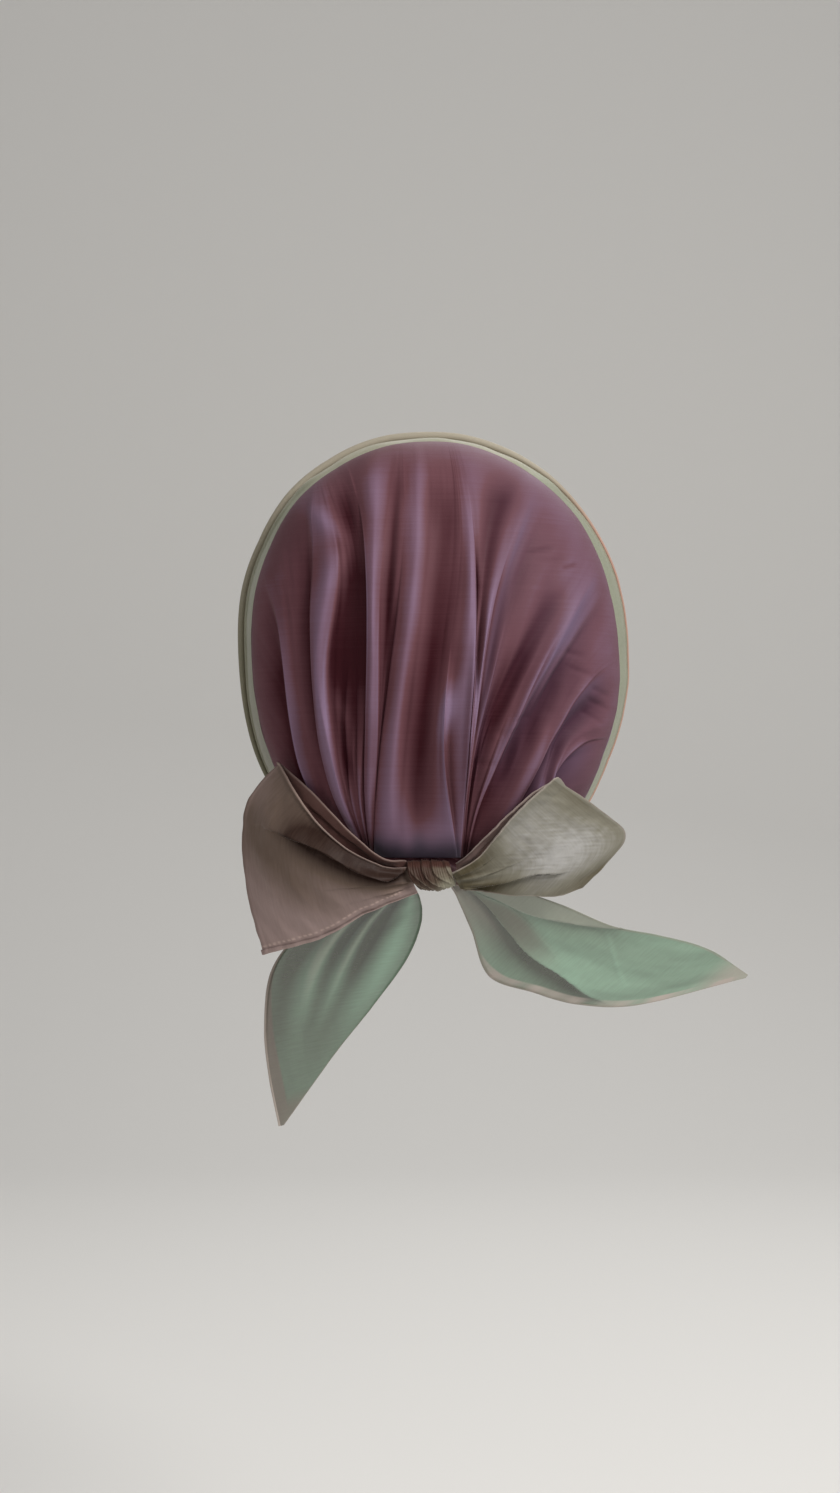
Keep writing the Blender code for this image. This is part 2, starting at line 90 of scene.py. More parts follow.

# Every ridge and valley of the crown, from left to right.
# place: percent of the way from the main line before it to the next one, at the rim, at a
# quarter, half and three quarters of the way down, and at the nape; None on a main line.
# height: tenths of a millimetre that it stands out of the dome at each eighth of the way down.
# edge: 0 for a round ridge or valley, 1 for a sharp one.
# Most heights were set by a program that compared test renders with the photo's shading,
# and the rest were given one by one.
FOLDS = {
    "left_edge": (None, (0, 0, 0, 0, 0, 0, 0, 0), 0),
    "field_hollow": ((45, 45, 45, 50, 50), (-8, -25, -72, -65, -39, -20, -8, 0), 0),
    "field_rise": ((72, 72, 72, 75, 80), (-10, -39, -82, -62, -29, -13, -5, 0), 0),
    "left_under": ((93, 95, 95.5, 96, 97), (-7, -3, -3, 6, 15, 10, 5, 0), 0.6),
    "left_ridge": (None, (6, 18, 28, 36, 36, 24, 11, 1), 0.7),
    "left_slope": ((35, 35, 40, 40, 40), (6, 8, 11, 9, 3, 2, 2, 1), 0),
    "broad_under": ((86, 88, 92, 93, 95), (-5, -10, -10, -8, -3, 11, 8, 3), 0.6),
    "broad_edge": (None, (6, 5, 8, 9, 9, 13, 10, 4), 0.7),
    "broad_top": ((8.3, 33, 16, 35, 25), (6, 16, 29, 36, 53, 56, 39, 8), 0),
    "broad_side": ((16.7, 50, 29, 36, 40), (2, -1, 4, 22, 36, 52, 32, 3), 0.8),
    "deep_left": ((25, 56, 36, 42, 45), (0, -6, -8, -6, 10, 32, 29, 2), 0.3),
    "deep_floor": ((33.3, 66, 50, 48, 50), (-2, -16, -30, -32, -20, 12, 27, 2), 0),
    "slim_edge": ((41.7, 72, 60, 54, 55), (-3, -18, -32, -34, -16, 8, 24, 3), 0.2),
    "slim_right": ((50, 79, 70, 66, 66), (-3, -18, -32, -36, -22, 3, 13, 5), 0.2),
    "slim_under": ((58.3, 81, 74, 70, 70), (-2, -16, -30, -34, -22, 8, 16, 5), 0.2),
    "second_edge": ((66.7, 84, 79, 80, 80), (-2, -12, -26, -28, -16, 4, 25, 6), 0.2),
    "second_top": ((75, 89, 87, 87, 87), (0, -6, -18, -20, -4, 13, 32, 8), 0),
    "second_right": ((83.3, 94, 94, 94, 93), (1, 2, -8, -10, 4, 18, 23, 9), 0.2),
    "tube_under": ((91.7, 97.5, 97.5, 97.5, 96.5), (3, 7, 2, 2, 9, 12, 17, 9), 0.2),
    "tube_edge": (None, (4, 11, 13, 13, 6, 5, 12, 11), 0.8),
    "tube_top": ((50,) * 5, (21, 19, 23, 28, 24, 25, 29, 14), 0),
    "tube_right": (None, (2, 0, 0, 11, 16, 17, 13, 15), 0.6),
    "tube_valley": ((35,) * 5, (2, -12, -21, -11, 2, 12, 12, 17), 0),
    "panel_under": ((80, 80, 75, 75, 75), (5, 1, -1, -9, -7, 5, 11, 21), 0),
    "panel_edge": (None, (6, 2, 2, 1, -2, 4, 11, 22), 0.6),
    "panel_ridge": (None, (4, 8, 14, 19, 22, 24, 35, 52), 0),
    "panel_soft": ((45,) * 5, (-9, -12, -6, -3, -8, -7, 15, 49), 0),
    "panel_valley": (None, (-9, -22, -22, -23, -25, -26, -10, 46), 0),
    "panel_step": ((40, 36, 28, 28, 30), (-6, -15, -17, -18, -9, -3, 1, 47), 0.6),
    "inner_rise": ((50, 48, 38, 42, 60), (-3, -10, -13, -11, 3, 19, 16, 49), 0.6),
    "inner_ridge": ((60, 58, 47, 52, 90), (-1, -6, -9, -6, 14, 47, 45, 52), 0.5),
    "inner_under": ((66, 65, 60, 62, 94), (1, -3, -3, 0, 3, 18, 24, 43), 0.4),
    "centre_slope": ((85, 86, 86, 88, 97), (5, 6, 18, 23, 30, 31, 27, 35), 0.3),
    "centre_ridge": (None, (6, 4, 6, 30, 60, 60, 36, 28), 0.8),
    "centre_under": ((10, 10, 12, 22, 20), (6, -1, 2, 24, 60, 60, 36, 24), 0.2),
    "wedge": ((70, 42, 27, 45, 50), (-20, -21, -3, 12, 44, 59, 33, 19), 0),
    "right_flank": ((92, 84, 76, 75, 75), (2, 7, 29, 49, 37, 40, 25, 16), 0),
    "right_ridge": (None, (4, 7, 17, 29, 31, 25, 17, 12), 0.7),
    "right_under": ((7, 6, 6, 4, 10), (3, 0, 3, 13, 20, 18, 11, 8), 0.5),
    "lip_hollow": ((14, 12, 13, 9, 20), (-1, -8, -10, 2, 18, 10, 5, 6), 0),
    "lip_ridge": ((22, 22, 25, 15, 30), (-9, -19, -5, 11, 15, 0, 0, 6), 0.2),
    "field_swell": ((50, 50, 45, 25, 40), (-9, -6, -1, -14, -18, -10, 4, 4), 0),
    "field_valley": ((80, 78, 66, 37, 50), (2, -13, -35, -42, -32, -5, 7, 2), 0),
    "side_flank": ((92, 90, 86, 80, 80), (8, -3, -10, -3, 9, 21, 9, 7), 0.2),
    "side_ridge": (None, (11, 12, 16, 32, 36, 24, -1, 8), 0.8),
    "side_under": ((7, 7, 9, 12, 20), (11, 15, 31, 21, 8, -8, -2, 3), 0.5),
    "side_slope": ((20, 22, 24, 28, 35), (6, 8, 1, -18, -35, -16, -4, 1), 0),
    "slope_valley": ((40, 42, 45, 50, 50), (-9, -19, -40, -36, -20, -9, -4, 1), 0),
    "low_flank": ((85,) * 5, (2, -10, -7, 7, 20, 16, 8, 3), 0.1),
    "low_ridge": (None, (2, 7, 11, 3, 4, 1, 1, 3), 0.8),
    "low_under": ((12, 12, 12, 15, 20), (-3, -5, -7, -19, 5, 1, -1, 1), 0.5),
    "low_valley": ((50,) * 5, (-25, -43, -40, 0, 35, 21, 8, 0), 0),
    "last_flank": ((85,) * 5, (3, -6, 15, 47, 34, 16, 6, 1), 0.1),
    "last_ridge": (None, (2, 8, 12, 18, 14, 11, 6, 2), 0.8),
    "last_under": ((12,) * 5, (-1, -5, -9, -10, -8, -5, -1, 0), 0.5),
    "edge_swell": ((55,) * 5, (2, 5, 8, 8, 6, 3, 1, 0), 0),
    "right_edge": (None, (0, 0, 0, 0, 0, 0, 0, 0), 0),
}
# Knife edges: on which side of the fold the cloth drops away (-1 left, 1 right), the fold
# that the drop fades out to, and its depth in tenths of a millimetre at each eighth down.
KNIFE_EDGES = {
    "left_ridge": (-1, "field_rise", (0, 6, 16, 20, 20, 18, 12, 3)),
    "broad_edge": (-1, "left_slope", (0, 10, 20, 22, 22, 20, 14, 5)),
    "broad_side": (1, "slim_edge", (0, 5, 20, 35, 35, 30, 15, 3)),
    "slim_edge": (-1, "deep_left", (0, 0, 0, 0, 8, 22, 15, 4)),
    "second_edge": (-1, "slim_right", (0, 0, 0, 0, 6, 14, 12, 5)),
    "tube_edge": (-1, "second_edge", (0, 18, 38, 40, 30, 20, 15, 8)),
    "tube_right": (1, "panel_under", (0, 0, 3, 12, 14, 12, 8, 4)),
    "panel_edge": (-1, "tube_valley", (0, 0, 3, 8, 12, 14, 14, 10)),
    "inner_ridge": (1, "centre_slope", (0, 0, 0, 0, 8, 24, 30, 16)),
    "centre_ridge": (1, "wedge", (0, 8, 30, 35, 30, 25, 20, 10)),
    "right_ridge": (1, "lip_ridge", (0, 3, 15, 30, 30, 24, 16, 6)),
    "lip_ridge": (1, "field_valley", (0, 0, 0, 8, 18, 16, 10, 4)),
    "side_flank": (-1, "field_valley", (0, 0, 0, 0, 5, 12, 14, 6)),
    "side_ridge": (1, "slope_valley", (0, 0, 10, 24, 28, 26, 20, 6)),
    "low_ridge": (1, "low_valley", (3, 16, 28, 30, 26, 20, 14, 4)),
    "last_ridge": (1, "edge_swell", (8, 22, 24, 20, 14, 10, 6, 2)),
}
KNIFE_WIDTH = 0.3
MOST_DROP = 1.6
# Edges whose far slope is painted in bluish shade, partly the shot cloth's second thread, and how far
# from the edge.
PAINTED_COOL_SLOPES = {"right_ridge": 6, "side_ridge": 11, "low_ridge": 13, "last_ridge": 16}
CROWN_ROWS = 150
# 0 crowds the rows at the rim, 1 spaces them evenly.
ROW_EVENNESS = 0.35
CROWN_THREAD = 190
COLUMN_SPACE = 0.95
LEAST_COLUMNS = 3
UNDERSIDE_COLUMNS = 70
UNDERSIDE_ROWS = 40
TUCK_ROWS = 8
TUCK_HEIGHT = 8


def smooth(low, high, value):
    """Rise from 0 at low to 1 at high, level at both ends."""
    share = np.clip((value - low) / (high - low), 0, 1)
    return share * share * (3 - 2 * share)


def window(begin, full, fading, gone, value):
    """Rise from 0 at begin to 1 at full, and fall from 1 at fading to 0 at gone."""
    return smooth(begin, full, value) * smooth(gone, fading, value)


def hill(value, width):
    """1 at 0, falling softly to both sides over a width."""
    return np.exp(-((value / width) ** 2))


def mix(first, second, share):
    return first * (1 - share) + second * share


def curve(points, share):
    """Points or numbers at shares from 0 to 1 of a smooth curve through evenly shared ones."""
    points = np.asarray(points, float)
    last = len(points) - 1
    place = np.clip(np.asarray(share, float) * last, 0, last - 1e-9)
    start = place.astype(int)
    s = (place - start).reshape(place.shape + (1,) * (points.ndim - 1))
    padded = np.concatenate([[points[0] * 2 - points[1]], points, [points[-1] * 2 - points[-2]]])
    before, here, there, after = (padded[start + k] for k in range(4))
    return 0.5 * (
        here * 2
        + (there - before) * s
        + (before * 2 - here * 5 + there * 4 - after) * s**2
        + (here * 3 - before - there * 3 + after) * s**3
    )


def at_turn(table, degrees):
    """A table's value at degrees clockwise from the top."""
    return np.interp(degrees, *np.array(table).T)


def rim_point(turn, radius):
    """Places x, z at a radius round the crown's middle; turn is clockwise from the top."""
    return radius * np.sin(turn), CROWN_MIDDLE_Z + radius * np.cos(turn)


def outline_radius(turn):
    """Distance from the crown's middle to its rim; turn is clockwise from the top."""
    side, up = np.sin(turn), np.cos(turn)
    lower = np.where(side < 0, SQUARENESS["lower_left"], SQUARENESS["lower_right"])
    upper = np.where(side < 0, SQUARENESS["upper_left"], SQUARENESS["upper_right"])
    power = np.where(up < 0, lower, upper)
    across = np.where(side > 0, CROWN_HALF_RIGHT, CROWN_HALF_LEFT)
    along = np.where(up > 0, CROWN_RISE, CROWN_DROP)
    outline = (np.abs(side / across) ** power + np.abs(up / along) ** power) ** (-1 / power)
    return outline - at_turn(RIM_EASE, (np.degrees(turn) + 180) % 360 - 180)


def dome_depth(x, z):
    """Height of the smooth dome in front of the seam plane, 0 at and outside the rim."""
    turn = np.arctan2(x, z - CROWN_MIDDLE_Z)
    share = np.hypot(x, z - CROWN_MIDDLE_Z) / outline_radius(turn)
    power = DOME_POWER + DOME_POWER_TOP * (1 + np.cos(turn)) / 2
    return CROWN_BULGE * np.sqrt(np.maximum(0, 1 - share**power))


def dome_normal(x, z):
    """Outward direction of the dome, turning to lie in the seam plane at the rim."""
    x, z = x * SLOPE_INSIDE, mix(CROWN_MIDDLE_Z, z, SLOPE_INSIDE)
    rise_x = dome_depth(x + SLOPE_STEP, z) - dome_depth(x - SLOPE_STEP, z)
    rise_z = dome_depth(x, z + SLOPE_STEP) - dome_depth(x, z - SLOPE_STEP)
    normal = np.stack([-rise_x, np.full_like(rise_x, -2 * SLOPE_STEP), -rise_z], -1)
    return unit(normal)


def unit(vectors):
    return vectors / np.maximum(np.linalg.norm(vectors, axis=-1, keepdims=True), 1e-9)


def grid_normals(grid):
    """Direction square to a grid of points, rows by columns."""
    return unit(np.cross(np.gradient(grid, axis=0), np.gradient(grid, axis=1)))


def ripple(first, second, first_length, second_length, waves=14):
    """Soft uneven waves, about -1 to 1, over two coordinates with their own wave lengths."""
    total = np.zeros(np.broadcast(first, second).shape)
    for _ in range(waves):
        angle, phase, pace = rng.uniform(0, 2 * pi), rng.uniform(0, 2 * pi), rng.uniform(0.6, 1.6)
        way = np.cos(angle) * first / first_length + np.sin(angle) * second / second_length
        total += np.sin(2 * pi * pace * way + phase)
    return total / np.sqrt(waves)


def fold_path(name, shares):
    """Places x, z of one main fold line at shares from 0 at the rim to 1 at the nape edge."""
    rim_turn, heading, nape_x, lean, swing = FOLD_PATHS[name]
    turn, heading, lean = radians(rim_turn), radians(heading), radians(lean)
    rim = np.array(rim_point(turn, outline_radius(turn)))
    nape = np.array([nape_x, NAPE_Z])
    length = np.linalg.norm(nape - rim)
    leaving = rim + PLEAT_REACH * length * np.array([np.sin(heading), -np.cos(heading)])
    arriving = nape + PLEAT_REACH * length * np.array([np.sin(lean), np.cos(lean)])
    t = shares[:, None]
    way = (nape - rim) / length
    aside = np.array([-way[1], way[0]])
    path = rim * (1 - t) ** 3 + leaving * 3 * (1 - t) ** 2 * t
    path = path + arriving * 3 * (1 - t) * t**2 + nape * t**3
    return path + swing * np.sin(2 * pi * t) * aside


def rim_pull(turn, start, shares):
    """Shift that brings the start of a line out to the rim and fades down the line."""
    rim = np.array(rim_point(turn, outline_radius(turn)))
    return (1 - shares[:, None]) ** 2.5 * (rim - start)


def crown_columns(shares):
    """Paths x, z and heights of all columns of the crown, and each fold's first column."""
    names = list(FOLDS)
    mains = [name for name in names if FOLDS[name][0] is None]
    paths, heights, rim_turns = {}, {}, {}
    for name in names:
        place, height, _ = FOLDS[name]
        heights[name] = curve((0, *height), shares) / 10
        if place is None:
            before = mains.index(name)
            paths[name] = fold_path(name, shares)
            rim_turns[name] = radians(FOLD_PATHS[name][0])
        else:
            pair = mains[before : before + 2]
            place = np.array(place) / 100
            rim_turns[name] = mix(*(radians(FOLD_PATHS[main][0]) for main in pair), place[0])
            path = mix(*(fold_path(main, shares) for main in pair), curve(place, shares)[:, None])
            paths[name] = path + rim_pull(rim_turns[name], path[0], shares)
    columns, rises, starts = [], [], {}
    crisp = smooth(0, 0.3, shares)
    for name, after in zip(names, names[1:]):
        apart = np.linalg.norm(paths[after] - paths[name], axis=1)
        steps = max(LEAST_COLUMNS, int(np.ceil(apart[CROWN_ROWS // 8 :].max() / COLUMN_SPACE)))
        places = [np.full(len(shares), step / steps) for step in range(steps)]
        knife = np.clip(KNIFE_WIDTH / np.maximum(apart, 0.01), 0.02, 0.4 / steps)
        if KNIFE_EDGES.get(name, (0,))[0] == 1:
            places.insert(1, knife)
        if KNIFE_EDGES.get(after, (0,))[0] == -1:
            places.append(1 - knife)
        low, high = heights[name], heights[after]
        slope = (high - low) * 1.5 * crisp
        starts[name] = len(columns)
        for s in places:
            leaving = FOLDS[name][2] * (s**3 - 2 * s**2 + s)
            arriving = FOLDS[after][2] * (s**3 - s**2)
            rise = mix(low, high, smooth(0, 1, s)) + slope * (leaving + arriving)
            column = mix(paths[name], paths[after], s[:, None])
            turn = mix(rim_turns[name], rim_turns[after], s[0])
            columns.append(column + rim_pull(turn, column[0], shares))
            rises.append(rise)
    starts[names[-1]] = len(columns)
    columns.append(paths[names[-1]])
    rises.append(heights[names[-1]])
    return np.array(columns).transpose(1, 0, 2), np.array(rises).T, starts


def knife_edges(flat, starts, shares):
    """How far the cloth drops beside each knife edge, the painted highlight along its crest,
    and where the slope behind an edge is painted in bluish shade, partly the cloth's second thread."""
    fall, crest, painted_cool = np.zeros((3, *flat.shape[:2]))
    order = np.arange(flat.shape[1])
    for name, (side, until, drops) in KNIFE_EDGES.items():
        edge = flat[:, starts[name]][:, None]
        away = side * np.sign(order - starts[name]) * np.linalg.norm(flat - edge, axis=-1)
        reach = 0.45 * np.linalg.norm(flat[:, starts[until]] - edge[:, 0], axis=-1)[:, None] + 0.15
        drop = np.minimum(curve((0, *drops), shares)[:, None] / 10, MOST_DROP * reach)
        fading = np.exp(-np.maximum(away - KNIFE_WIDTH, 0) / reach)
        fall += drop * np.clip(away / KNIFE_WIDTH, 0, 1) * fading
        # Painted highlight just inside each knife edge.
        crest = np.maximum(crest, drop / 3 * hill(away + 0.35, 0.5))
        if name in PAINTED_COOL_SLOPES:
            shown = smooth(0.3, 3, away) * hill(away, PAINTED_COOL_SLOPES[name])
            ends = window(0.02, 0.2, 0.6, 0.85, shares)
            painted_cool = np.maximum(painted_cool, shown * ends[:, None])
    return fall, crest, painted_cool


# Small creases across the folds of the crown: two ends x, z, depth and width.
CROWN_CREASES = (
    (41.5, -53.2, 54.5, -50.4, 0.7, 0.9),
    (57.5, -60.2, 64, -58, 0.75, 0.9),
    (47, -57.5, 61, -55.5, 0.35, 1.4),
    (33, -128, 45, -127.2, 0.45, 1),
    (16, -147.5, 27, -146.6, 0.5, 1),
    (27, -134, 38, -133.4, 0.35, 1.1),
    (58, -97, 68, -99.5, 0.35, 1.2),
    (60, -104, 71, -108, 0.35, 1.2),
    (71.3, -113, 81.3, -117.1, 0.45, 1.2),
    (70.3, -118.5, 80.4, -123.1, 0.45, 1.2),
    (68.1, -124, 77.2, -129.5, 0.4, 1.2),
    (-48, -100, -44, -104, 0.35, 1.2),
)


# Soft swells and dents: x, z, half length, half width, lean from straight down, rise, light.
CROWN_SWELLS = (
    (14.6, -57.4, 26, 3.2, 0, 0.3, 0.09),
    (44.2, -70.6, 22, 9, -20, 0.2, 0.05),
    (-39.8, -114.8, 9, 4, 5, 0.4, 0.06),
    (-14.6, -114.8, 24, 4.5, -3, -0.1, -0.06),
    (-53.9, -26.4, 10, 8, -30, 0.2, 0.07),
    (5.7, -123.4, 11.8, 3.9, -15, 1.4, 0.4),
    (-47.9, -40.4, 10.8, 4.5, 40, 1.1, 0.16),
    (-43.9, -61.4, 12.4, 4.4, -17, 0.7, 0.12),
    (-39.8, -31.8, 13.5, 5.4, 6, -1.1, -0.14),
    (-16, -26.2, 14.3, 4, -6, -0.5, -0.08),
    (31.9, -26.8, 11.6, 5.8, -17, -0.7, -0.1),
    (51.3, -78.1, 8, 5.3, -30, -0.5, -0.06),
    (-8.6, -50.8, 42, 6.4, -1, 0.5, 0.03),
    (-79.2, -72.5, 41.4, 6.4, 0, 0.3, 0.1),
    (-61.6, -17.7, 18.3, 11, -34, 0.3, 0.16),
    (-42.2, -124.4, 9, 3, 17, 1.1, 0.16),
    (-39.1, -148, 9, 2.2, 10, -1.2, -0.2),
    (-55.2, -44.1, 18, 6, 0, 0.3, 0.1),
)


def swells(x, z):
    """Rise and added light of the crown's soft swells at (x, z)."""
    rise, light = np.zeros(x.shape), np.zeros(x.shape)
    for middle_x, middle_z, half_long, half_wide, lean, high, bright in CROWN_SWELLS:
        lean = radians(lean)
        right, below = x - middle_x, middle_z - z
        along = right * np.sin(lean) + below * np.cos(lean)
        aside = right * np.cos(lean) - below * np.sin(lean)
        near = hill(along, half_long) * hill(aside, half_wide)
        rise += high * near
        light += bright * near
    return rise, light


def crease_depth(x, z):
    depth = np.zeros_like(x)
    for x0, z0, x1, z1, deep, wide in CROWN_CREASES:
        right, up = x1 - x0, z1 - z0
        along = ((x - x0) * right + (z - z0) * up) / (right**2 + up**2)
        off = ((x - x0) * up - (z - z0) * right) / np.hypot(right, up)
        ends = window(-0.15, 0.25, 0.75, 1.15, along)
        depth += deep * hill(off, wide) * ends
    return depth


# Height of a fold that is painted fully light, and the way to the light that sets each slope's painted
# light and shade.
LIGHT_HEIGHT = 4.6
LIGHT_WAY = (0.55, -0.65, 0.5)
# The nape edge's turn-up: how far back and up each row of it lies.
HEM_TURN = ((0.25, -0.3), (0.6, -0.15), (0.8, 1.2), (1, 3), (1.3, 5))


def crown_sheets():
    """The draped crown with its turned-up nape edge, its underside and the turned edge round its rim."""
    even = np.linspace(0, 1, CROWN_ROWS + 1)
    shares = mix(1 - np.cos(pi / 2 * even), even, ROW_EVENNESS)
    flat, rise, starts = crown_columns(shares)
    fall, crest, painted_cool = knife_edges(flat, starts, shares)
    rise = rise - fall
    x, z = flat[..., 0], flat[..., 1]
    down = np.repeat(shares[:, None], x.shape[1], 1)
    outward = dome_normal(x, z)
    base = np.stack([x, -dome_depth(x, z), z], -1)
    gathered = smooth(0.74, 1, down)
    upright = unit(mix(outward, np.array([0, -1, 0]), gathered[..., None]))
    along = down * CROWN_THREAD
    spacing = np.linalg.norm(np.diff(flat, axis=1, append=flat[:, -1:]), axis=-1)
    widest = spacing[CROWN_ROWS // 3]
    across = np.concatenate([[0], np.cumsum(widest[:-1])])[None] * np.ones_like(down)
    free = window(0, 0.12, 0.9, 1, down)
    fine = 0.08 * ripple(across, along, 9, 60) + 0.22 * ripple(across, along, 26, 40)
    fine += 0.02 * ripple(across, along, 3.2, 34)
    fine = fine * np.clip(spacing / np.maximum(widest, 1e-6), 0, 1)
    swelling, light = swells(x, z)
    height = rise + fine * free - crease_depth(x, z) + swelling * smooth(0, 0.05, down)
    points = base + upright * height[..., None]
    normals = grid_normals(points)
    normals = normals * np.sign(np.sum(normals * outward, -1, keepdims=True))
    steep = np.sum(normals * outward, -1)
    facing = np.sum(normals * unit(np.array(LIGHT_WAY)), -1)
    # Painted shade: low folds and steep flanks are painted darker, and each slope is painted lighter or
    # darker by how it faces the light.
    tone = smooth(-LIGHT_HEIGHT, LIGHT_HEIGHT, height) * mix(0.6, 1, smooth(0.35, 0.95, steep))
    tone = mix(0.55, tone, smooth(0, 0.12, down)) + 0.4 * (np.maximum(facing, 0.45) - 0.75)
    # Painted highlight on the knife edges' crests, painted shade at the foot of their drops, and the
    # swells' painted light.
    tone = tone + 0.22 * crest - 0.05 * fall + light
    # Painted shadow: a thin dark line along the rim, where the crown meets the band.
    tone = np.clip(tone - 0.35 * smooth(0.008, 0.001, down), 0, 1)
    # Painted bluish shade, partly the shot cloth's second thread, behind the knife edges and fainter
    # over the right side's upper part.
    painted_cool = 0.75 * painted_cool * mix(0.35, 1, tone) + 0.16 * smooth(0, 55, x) * smooth(0.75, 0.2, down)
    panel = np.zeros(x.shape[1])
    panel[starts["panel_edge"] : starts["centre_ridge"] + 1] = 1
    hem = smooth(0.93, 0.995, down + 0.012 * ripple(across, down, 12, 1)) * panel[None]
    # Painted shade: the folds beside the nape panel darken towards the nape edge.
    tone = np.clip(tone - 0.35 * smooth(0.92, 1, down) * (1 - panel[None]), 0, 1)
    tucked = np.array([points[-1] + np.array([0, back, up]) for back, up in HEM_TURN])
    points = np.concatenate([points, tucked])
    values = {"tone": tone, "blush": painted_cool, "hem": hem, "along": along, "across": across}
    for key, value in values.items():
        values[key] = np.concatenate([value, np.repeat(value[-1:], len(HEM_TURN), 0)])
    return [{"points": points, **values}, underside(), rim_edge()]


def underside():
    """The part of the crown under the nape edge, running up behind the nape panel."""
    first, last = FOLD_PATHS["right_edge"], FOLD_PATHS["left_edge"]
    across = np.linspace(0, 1, UNDERSIDE_COLUMNS)[None]
    down = np.linspace(0, 1, UNDERSIDE_ROWS)[:, None]
    turn = np.radians(mix(first[0], last[0] + 360, across))
    rim_x, rim_z = rim_point(turn, outline_radius(turn))
    nape_x = mix(first[2], last[2], across)
    x, z = mix(rim_x, nape_x, down), mix(rim_z, NAPE_Z - 0.5, down)
    above = np.linspace(0.1, 1, TUCK_ROWS)[:, None]
    x = np.concatenate([x, np.repeat(nape_x, TUCK_ROWS, 0)])
    z = np.concatenate([z, NAPE_Z - 0.5 + TUCK_HEIGHT * above * np.ones_like(nape_x)])
    reach = np.concatenate([down, 1 + 0.2 * above]) * np.ones_like(across)
    wave = np.sin(2 * pi * 9 * across + 1.5 * np.sin(5 * across)) * smooth(0.05, 0.6, reach) * 0.7
    wave += ripple(across * 60, reach * 40, 8, 30) * 0.3 * smooth(0, 0.2, reach)
    base = np.stack([x, -dome_depth(x, z), z], -1)
    points = base + dome_normal(x, z) * (wave - 2.6 * smooth(0.86, 1.03, reach))[..., None]
    middle = smooth(0, 0.4, reach) * window(0, 0.12, 0.88, 1, across)
    # Painted light and shade: the waves' troughs are painted dark and their tops lighter, evening out to
    # a mid tone at the edges.
    tone = mix(0.42, 0.6 * smooth(-1.6, 1.6, wave), middle)
    return {"points": points, "tone": tone, "along": reach * 60, "across": across * 60}


RIM_STEPS = 420
RIM_EDGE_RADIUS = 0.5


def rim_edge():
    """The crown's turned edge: a thin soft roll round the rim, in front of the face band."""
    turn = np.linspace(-pi, pi, RIM_STEPS, endpoint=False)[:, None]
    angle = np.linspace(0, 2 * pi, 9)[None, :-1]
    thick = RIM_EDGE_RADIUS + 0.08 * ripple(turn * 90, 0 * turn, 14, 1)
    x, z = rim_point(turn, outline_radius(turn) - 0.25 + thick * np.cos(angle))
    points = np.stack([x, -0.2 + thick * np.sin(angle), z], -1)
    return {
        "points": points,
        "wraps": (True, True),
        # Painted light: the roll is painted dark on the left and lit on the right, where the light comes
        # from.
        "tone": mix(0.12, 1, smooth(0.15, 0.9, np.sin(turn))),
        "along": turn * 95,
        "across": angle,
    }


# Face band: sheer cloth from the crown's rim out and back to a rolled edge.
BAND_STEPS = 420
# How far the band reaches out from the crown: degrees clockwise from the top, millimetres.
BAND_WIDTHS = (
    (-180, 9), (-130, 9), (-90, 9.6), (-60, 9.8), (-40, 10.4), (-20, 10.4), (0, 10.2), (35, 9.8),
    (50, 8.4), (70, 8.9), (90, 8.4), (100, 7.8), (110, 6.4), (130, 5.4), (180, 9),
)
BAND_BACK = 23.6
BAND_GAP = 0.3
BAND_SHEER_STEPS = 34
BAND_ROLL_STEPS = 26
BAND_ROLL_START = 200
BAND_ROLL_TURN = 395
BAND_NAPE_SHARE = 0.3
BAND_NAPE_START = 118
BAND_NAPE_FULL = 176
# Shares of the way out and back of the sheer part, from the seam to where the roll starts.
BAND_SHEER = ((-0.16, 0), (0.12, 0.06), (0.48, 0.22), (0.74, 0.44), (0.9, 0.68), (1, 0.92))
# The roll's radius round the band: degrees clockwise from the top, radius.
BAND_ROLLS = (
    (-180, 1), (-120, 2), (-90, 2.5), (-45, 2.7), (-10, 3), (18, 3), (38, 2),
    (60, 1.1), (90, 0.75), (135, 0.7), (180, 1),
)


